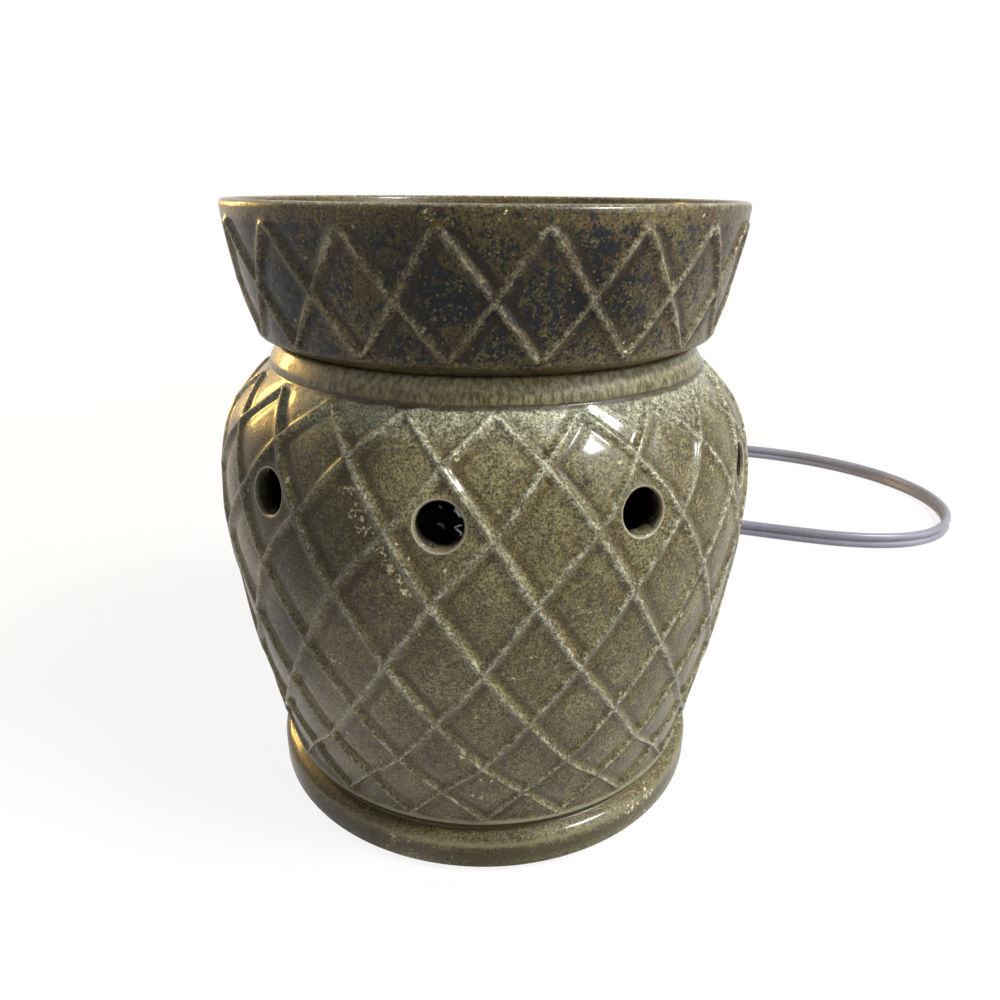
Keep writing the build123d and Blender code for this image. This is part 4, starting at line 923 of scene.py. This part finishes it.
def plain_material(name, blotches, dark, light, relief, depth, more):
    """A plain glaze or clay of two colours, over a fine relief: its noises are (scale, detail, roughness)."""
    material, tree, output = new_material(name)
    here = add_node(tree, "ShaderNodeTexCoord").outputs["Object"]
    colour = colour_mix(tree, grain(tree, here, *blotches), dark, light)
    bump = add_node(tree, "ShaderNodeBump", {"Height": grain(tree, here, *relief), "Distance": depth})
    surface = {"Base Color": colour, "Normal": bump.outputs[0], **more}
    shader = add_node(tree, "ShaderNodeBsdfPrincipled", surface)
    tree.links.new(shader.outputs[0], output.inputs["Surface"])
    return material


inner_glaze = plain_material(
    "inner_glaze", (90.0, 3.0), (0.030, 0.026, 0.018, 1), (0.075, 0.066, 0.048, 1),
    (200.0, 2.0), 0.9 * mm, {"Roughness": 0.12, "Coat Weight": 0.6, "Coat Roughness": 0.05},
)
bare_clay = plain_material(
    "bare_clay", (900.0, 3.0, 0.7), (0.36, 0.27, 0.17, 1), (0.52, 0.42, 0.29, 1),
    (1400.0,), 0.12 * mm, {"Roughness": 0.85},
)


def near_hole_calm(place):
    """The ribs stop at the edge of a light hole."""
    if abs(place.z - light_hole_height) > hole_zone:
        return 1
    return fade(hole_distance(place) - light_hole_mouth, calm_start, calm_end)


body_pit_places = [
    ((-28.1, -60.5, 101.1), 2.2),
    ((-26.9, -61.9, 97.9), 2.4),
    ((-25.6, -63.1, 94.7), 2.2),
    ((-22.0, -65.3, 90.3), 2.0),
    ((-20.3, -66.0, 87.3), 2.2),
    ((-18.8, -66.4, 84.6), 2.2),
    ((-17.4, -66.9, 82.2), 2.0),
    ((-35.0, -57.2, 60.6), 2.6),
    ((-7.5, -62.9, 37.4), 2.0),
    ((-1.9, -60.6, 23.5), 2.0),
    ((-24.0, -56.3, 6.5), 2.6),
    ((-19.5, -58.0, 6.0), 2.6),
    ((-9.5, -60.5, 5.6), 2.2),
    ((-5.5, -61.0, 5.4), 2.2),
    ((-0.5, -61.2, 5.2), 2.2),
    ((5.5, -61.0, 5.5), 1.8),
    ((10.5, -60.3, 6.0), 2.2),
    ((37.0, -48.7, 7.5), 3.0),
    ((42.0, -44.5, 7.5), 3.0),
]
# Painted shade on the body: darker on its left side, away from the window, and low on the foot at the front
# and left.
body_painted_shade_places = [
    ((-38.0, -57.0, 88.0), 21.0),
    ((-50.0, -46.0, 100.0), 17.0),
    ((-27.0, -55.0, 107.0), 10.0),
    ((-44.0, -46.0, 62.0), 13.0),
    ((0.0, -61.2, 4.0), 16.0),
    ((-40.0, -46.0, 4.0), 20.0),
]
store_near(body_shape, "pits", body_pit_places, few_pits, most_pits)
store_near(body_shape, "painted_shade", body_painted_shade_places, 0, 1)
carve(
    body_shape, row_layer, body_radius, 0, 8, body_rib_wander, rib_width_at, lower_rows_turn, near_hole_calm,
)
bmesh.ops.recalc_face_normals(body_shape, faces=body_shape.faces[:])
body_finishes = [body_glaze, inner_glaze, bare_clay]
mouth_radius = 50.2 * mm
foot_ring_radius = 57.2 * mm
foot_clay_height = 1.25 * mm
floor_clay_height = 10.3 * mm
glaze_depth_in_wall = 2.5 * mm
for face in body_shape.faces:
    middle = face.calc_center_median()
    reach = hypot(middle.x, middle.y)
    finish = body_glaze
    if middle.z < foot_clay_height or middle.z < floor_clay_height and reach < foot_ring_radius:
        finish = bare_clay
    elif middle.z > neck_height and reach < mouth_radius:
        finish = inner_glaze
    elif middle.z < neck_height and reach < body_radius(middle.z) - glaze_depth_in_wall:
        finish = inner_glaze
    face.material_index = body_finishes.index(finish)
glazed_body = add_piece("glazed_body", body_shape, "warmer", body_finishes)
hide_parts("warmer_body")


# Cord
# A flat twin cord that lies on its edge: from the sleeve at the back, in one loose loop over the
# table to the switch, and on into a tied coil of the spare length and the plug.
lying = 3.7
strand_radius = 1.85 * mm
web_half_thickness = 0.65 * mm
lobe_points = 10
route_steps = 6
sleeve_end = (0.0, 85.29, 19.22)
switch_seam = 6.6
switch_right_end = (102.0, 267.0, switch_seam)
switch_left_end = (50.0, 267.0, switch_seam)
near_route = [
    sleeve_end,
    (0.0, 96.03, 16.86),
    (3.5, 109.0, 12.4),
    (12.0, 122.5, 6.2),
    (24.5, 136.0, 3.9),
]
near_loop = [
    (42.0, 148.0), (66.0, 154.5), (93.0, 151.5), (121.0, 141.5), (150.0, 130.5), (177.5, 122.0),
    (203.0, 121.5), (224.0, 131.0), (238.0, 149.5), (243.0, 173.0), (238.5, 197.0), (226.0, 219.0),
    (207.0, 237.5), (183.5, 251.5), (157.5, 260.5),
]
near_route += [(across, behind, lying) for across, behind in near_loop]
near_route += [(134.0, 265.0, 4.2), (116.0, 267.0, switch_seam), switch_right_end]
far_route = [switch_left_end, (35.0, 267.0, switch_seam), (14.0, 265.3, 4.2)]
far_route += [(-9.5, 260.5, lying), (-32.0, 251.5, lying), (-52.0, 238.0, lying)]
far_route += [(-67.5, 219.5, 4.1), (-77.0, 197.0, 4.6)]
end_offsets = [(0.0, 11.5, 0.0), (1.6, 22.9, -1.8), (7.2, 33.5, -4.4)]
plug_entry = [(39.5, 218.7, 7.0), (51.7, 223.1, 7.0)]
coil_start = (-77.0, 176.0, 4.6)
coil_radii = [47.0, 44.15, 41.3, 38.45, 41.3, 44.15, 47.0]
coil_climb = 7.6
climbing_turn = 3
half_turn_points = 8


def coil_route():
    """Half turns that spiral in, climb one layer and spiral out again, and where the last one ends."""
    points = []
    place = Vector(coil_start)
    side = 1
    for index, radius in enumerate(coil_radii):
        climb = coil_climb if index == climbing_turn else 0
        across = sqrt(4 * radius**2 - climb**2)
        middle = place + Vector((side * across / 2, 0, climb / 2))
        arm = radius / cos(pi / (2 * half_turn_points))
        for step in range(half_turn_points):
            share = (step + 0.5) / half_turn_points
            points.append(middle + Vector((
                -side * cos(pi * share) * arm, -side * sin(pi * share) * arm, climb * (share - 0.5)
            )))
        place = place + Vector((side * across, 0, climb))
        side = -side
    return points, place


def route_line(points):
    """Places along the smooth line that has these points, in millimetres, as its control points."""
    curve = bpy.data.curves.new("cord_route", "CURVE")
    curve.dimensions = "3D"
    curve.resolution_u = route_steps
    spline = curve.splines.new("NURBS")
    spline.points.add(len(points) - 1)
    for control, place in zip(spline.points, points):
        control.co = (*(Vector(place) * mm), 1)
    spline.order_u = 3
    spline.use_endpoint_u = True
    holder = bpy.data.objects.new("cord_route", curve)
    line = bpy.data.meshes.new_from_object(holder)
    places = [vert.co.copy() for vert in line.vertices]
    bpy.data.objects.remove(holder)
    bpy.data.curves.remove(curve)
    bpy.data.meshes.remove(line)
    return places


def twin_profile():
    """Two round strands, one over the other, joined by a thin web."""
    gap = asin(web_half_thickness / strand_radius)
    upper = []
    for step in range(lobe_points):
        turn = gap - pi / 2 + (2 * pi - 2 * gap) * step / (lobe_points - 1)
        upper.append((cos(turn) * strand_radius, strand_radius + sin(turn) * strand_radius))
    return upper + [(-across, -up) for across, up in upper]


def swept(places, profile):
    """A profile swept along a line, kept upright."""
    bm = bmesh.new()
    rings = []
    last = len(places) - 1
    for index, place in enumerate(places):
        onward = (places[min(index + 1, last)] - places[max(index - 1, 0)]).normalized()
        side = onward.cross(Vector((0, 0, 1))).normalized()
        rise = side.cross(onward)
        rings.append([bm.verts.new(place + side * across + rise * up) for across, up in profile])
    count = len(profile)
    for first, second in zip(rings, rings[1:]):
        for index in range(count):
            after = (index + 1) % count
            bm.faces.new((first[index], first[after], second[after], second[index]))
    bm.faces.new(rings[0])
    bm.faces.new(rings[-1])
    bmesh.ops.recalc_face_normals(bm, faces=bm.faces[:])
    return bm


def finish_group(name, wear_size, shades, rough_steps, stretch, grain_roughness):
    """A shader group for a plain finish. Wear varies its shade and roughness, and a fine grain gives the
    height, which runs one way where it is stretched."""
    tree, given, result = new_group(name, ["Colour"], ["Roughness", "Grain Size"])
    here = add_node(tree, "ShaderNodeTexCoord").outputs["Object"]
    wear = grain(tree, here, wear_size, 4.0, 0.6)
    colour = scaled(tree, given["Colour"], band(tree, wear, 0.3, 0.7, *shades))
    rough = number(tree, "ADD", given["Roughness"], band(tree, wear, 0.3, 0.7, *rough_steps))
    fine = grain(tree, stretched(tree, here, stretch), given["Grain Size"], 2.0, grain_roughness)
    give(tree, result, colour, rough, fine)
    return tree


def finished(name, group, colour, roughness, grain_size, grain_depth, more):
    """A material of such a finish, the grain's size in features a metre and its depth in mm."""
    material, tree, output = new_material(name)
    inputs = {"Colour": (*colour, 1), "Roughness": roughness, "Grain Size": grain_size}
    node = group_node(tree, group, inputs)
    add_surface(tree, output, node, node.outputs["Color"], grain_depth * mm, more)
    return material


plastic_group = finish_group("moulded_plastic", 45.0, (0.86, 1.12), (-0.05, 0.08), (1, 1, 1), 0.5)


def plastic(name, colour, roughness=0.4, grain_size=1200.0, grain_depth=0.03):
    """A moulded plastic or rubber with a fine grain and a little dust."""
    return finished(name, plastic_group, colour, roughness, grain_size, grain_depth, {})


cord_plastic = plastic("cord_plastic", (0.20, 0.20, 0.245), 0.30, 2500.0, 0.01)
coil_points, coil_finish = coil_route()
spare_route = far_route + coil_points
spare_route += [coil_finish + Vector(offset) for offset in end_offsets] + plug_entry
near_line = route_line(near_route)
spare_line = route_line(spare_route)
twin = twin_profile()
near_cord = add_piece("near_cord", swept(near_line, twin), "warmer", [cord_plastic])
spare_cord = add_piece("spare_cord", swept(spare_line, twin), "warmer", [cord_plastic])
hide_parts("cord_near")
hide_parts("cord_far", "cord_coil", "cord_end")


# Fittings
# The parts that show only from behind, from below or with the dish lifted: base plate, screws, feet,
# lampholder, lamp, sleeve, switch, plug and tie. Their shapes are the frame's own.
metal_group = finish_group("worked_metal", 70.0, (0.82, 1.06), (-0.06, 0.12), (1, 6, 1), 0.55)


def metal(name, colour, roughness=0.3):
    """A metal with smudges and fine scratches."""
    return finished(name, metal_group, colour, roughness, 900.0, 0.01, {"Metallic": 1.0})


def dress(material, *names):
    """Gives a material to parts of the frame."""
    for name in names:
        nodes[name].data.materials.clear()
        nodes[name].data.materials.append(material)


dress(metal("base_steel", (0.60, 0.61, 0.60), 0.38), "base_plate")
dress(metal("screw_steel", (0.66, 0.65, 0.62), 0.28), "base_plate_screws", "base_plate_nuts", "threaded_rod",
      "rod_nuts", "terminal_screws", "switch_screws")
dress(plastic("feet_rubber", (0.022, 0.022, 0.022), 0.75, 1800.0, 0.05), "rubber_feet")
dress(plastic("holder_plastic", (0.016, 0.015, 0.014), 0.32), "lampholder")
dress(metal("shell_metal", (0.80, 0.79, 0.76), 0.26), "screw_shell", "lamp_cap")
dress(metal("contact_brass", (0.80, 0.60, 0.30), 0.30), "centre_contact", "switch_contacts", "plug_blades",
      "lamp_tip")
dress(plastic("lamp_insulation", (0.010, 0.010, 0.012), 0.12), "lamp_insulator")
dress(metal("lamp_wire", (0.42, 0.41, 0.40), 0.35), "lamp_wires", "lamp_filament")
dress(plastic("sleeve_plastic", (0.15, 0.15, 0.18), 0.42), "cord_sleeve")
dress(plastic("switch_plastic", (0.17, 0.17, 0.21), 0.38), "switch_base", "switch_cover")
dress(plastic("wheel_plastic", (0.05, 0.05, 0.06), 0.45), "switch_wheel")
dress(metal("axle_steel", (0.62, 0.62, 0.62), 0.25), "switch_axle")
dress(plastic("plug_plastic", (0.17, 0.17, 0.21), 0.40), "plug_body")
dress(plastic("tie_plastic", (0.02, 0.02, 0.02), 0.45), "coil_tie")
dress(cord_plastic, "lead_left", "lead_right")
lamp_glass, tree, output = new_material("lamp_clear_glass")
clear = add_node(tree, "ShaderNodeBsdfPrincipled", {
    "Base Color": (0.98, 0.99, 0.98, 1), "Roughness": 0.0, "Transmission Weight": 1.0, "IOR": 1.46,
})
tree.links.new(clear.outputs[0], output.inputs["Surface"])
dress(lamp_glass, "lamp_glass", "lamp_stem")
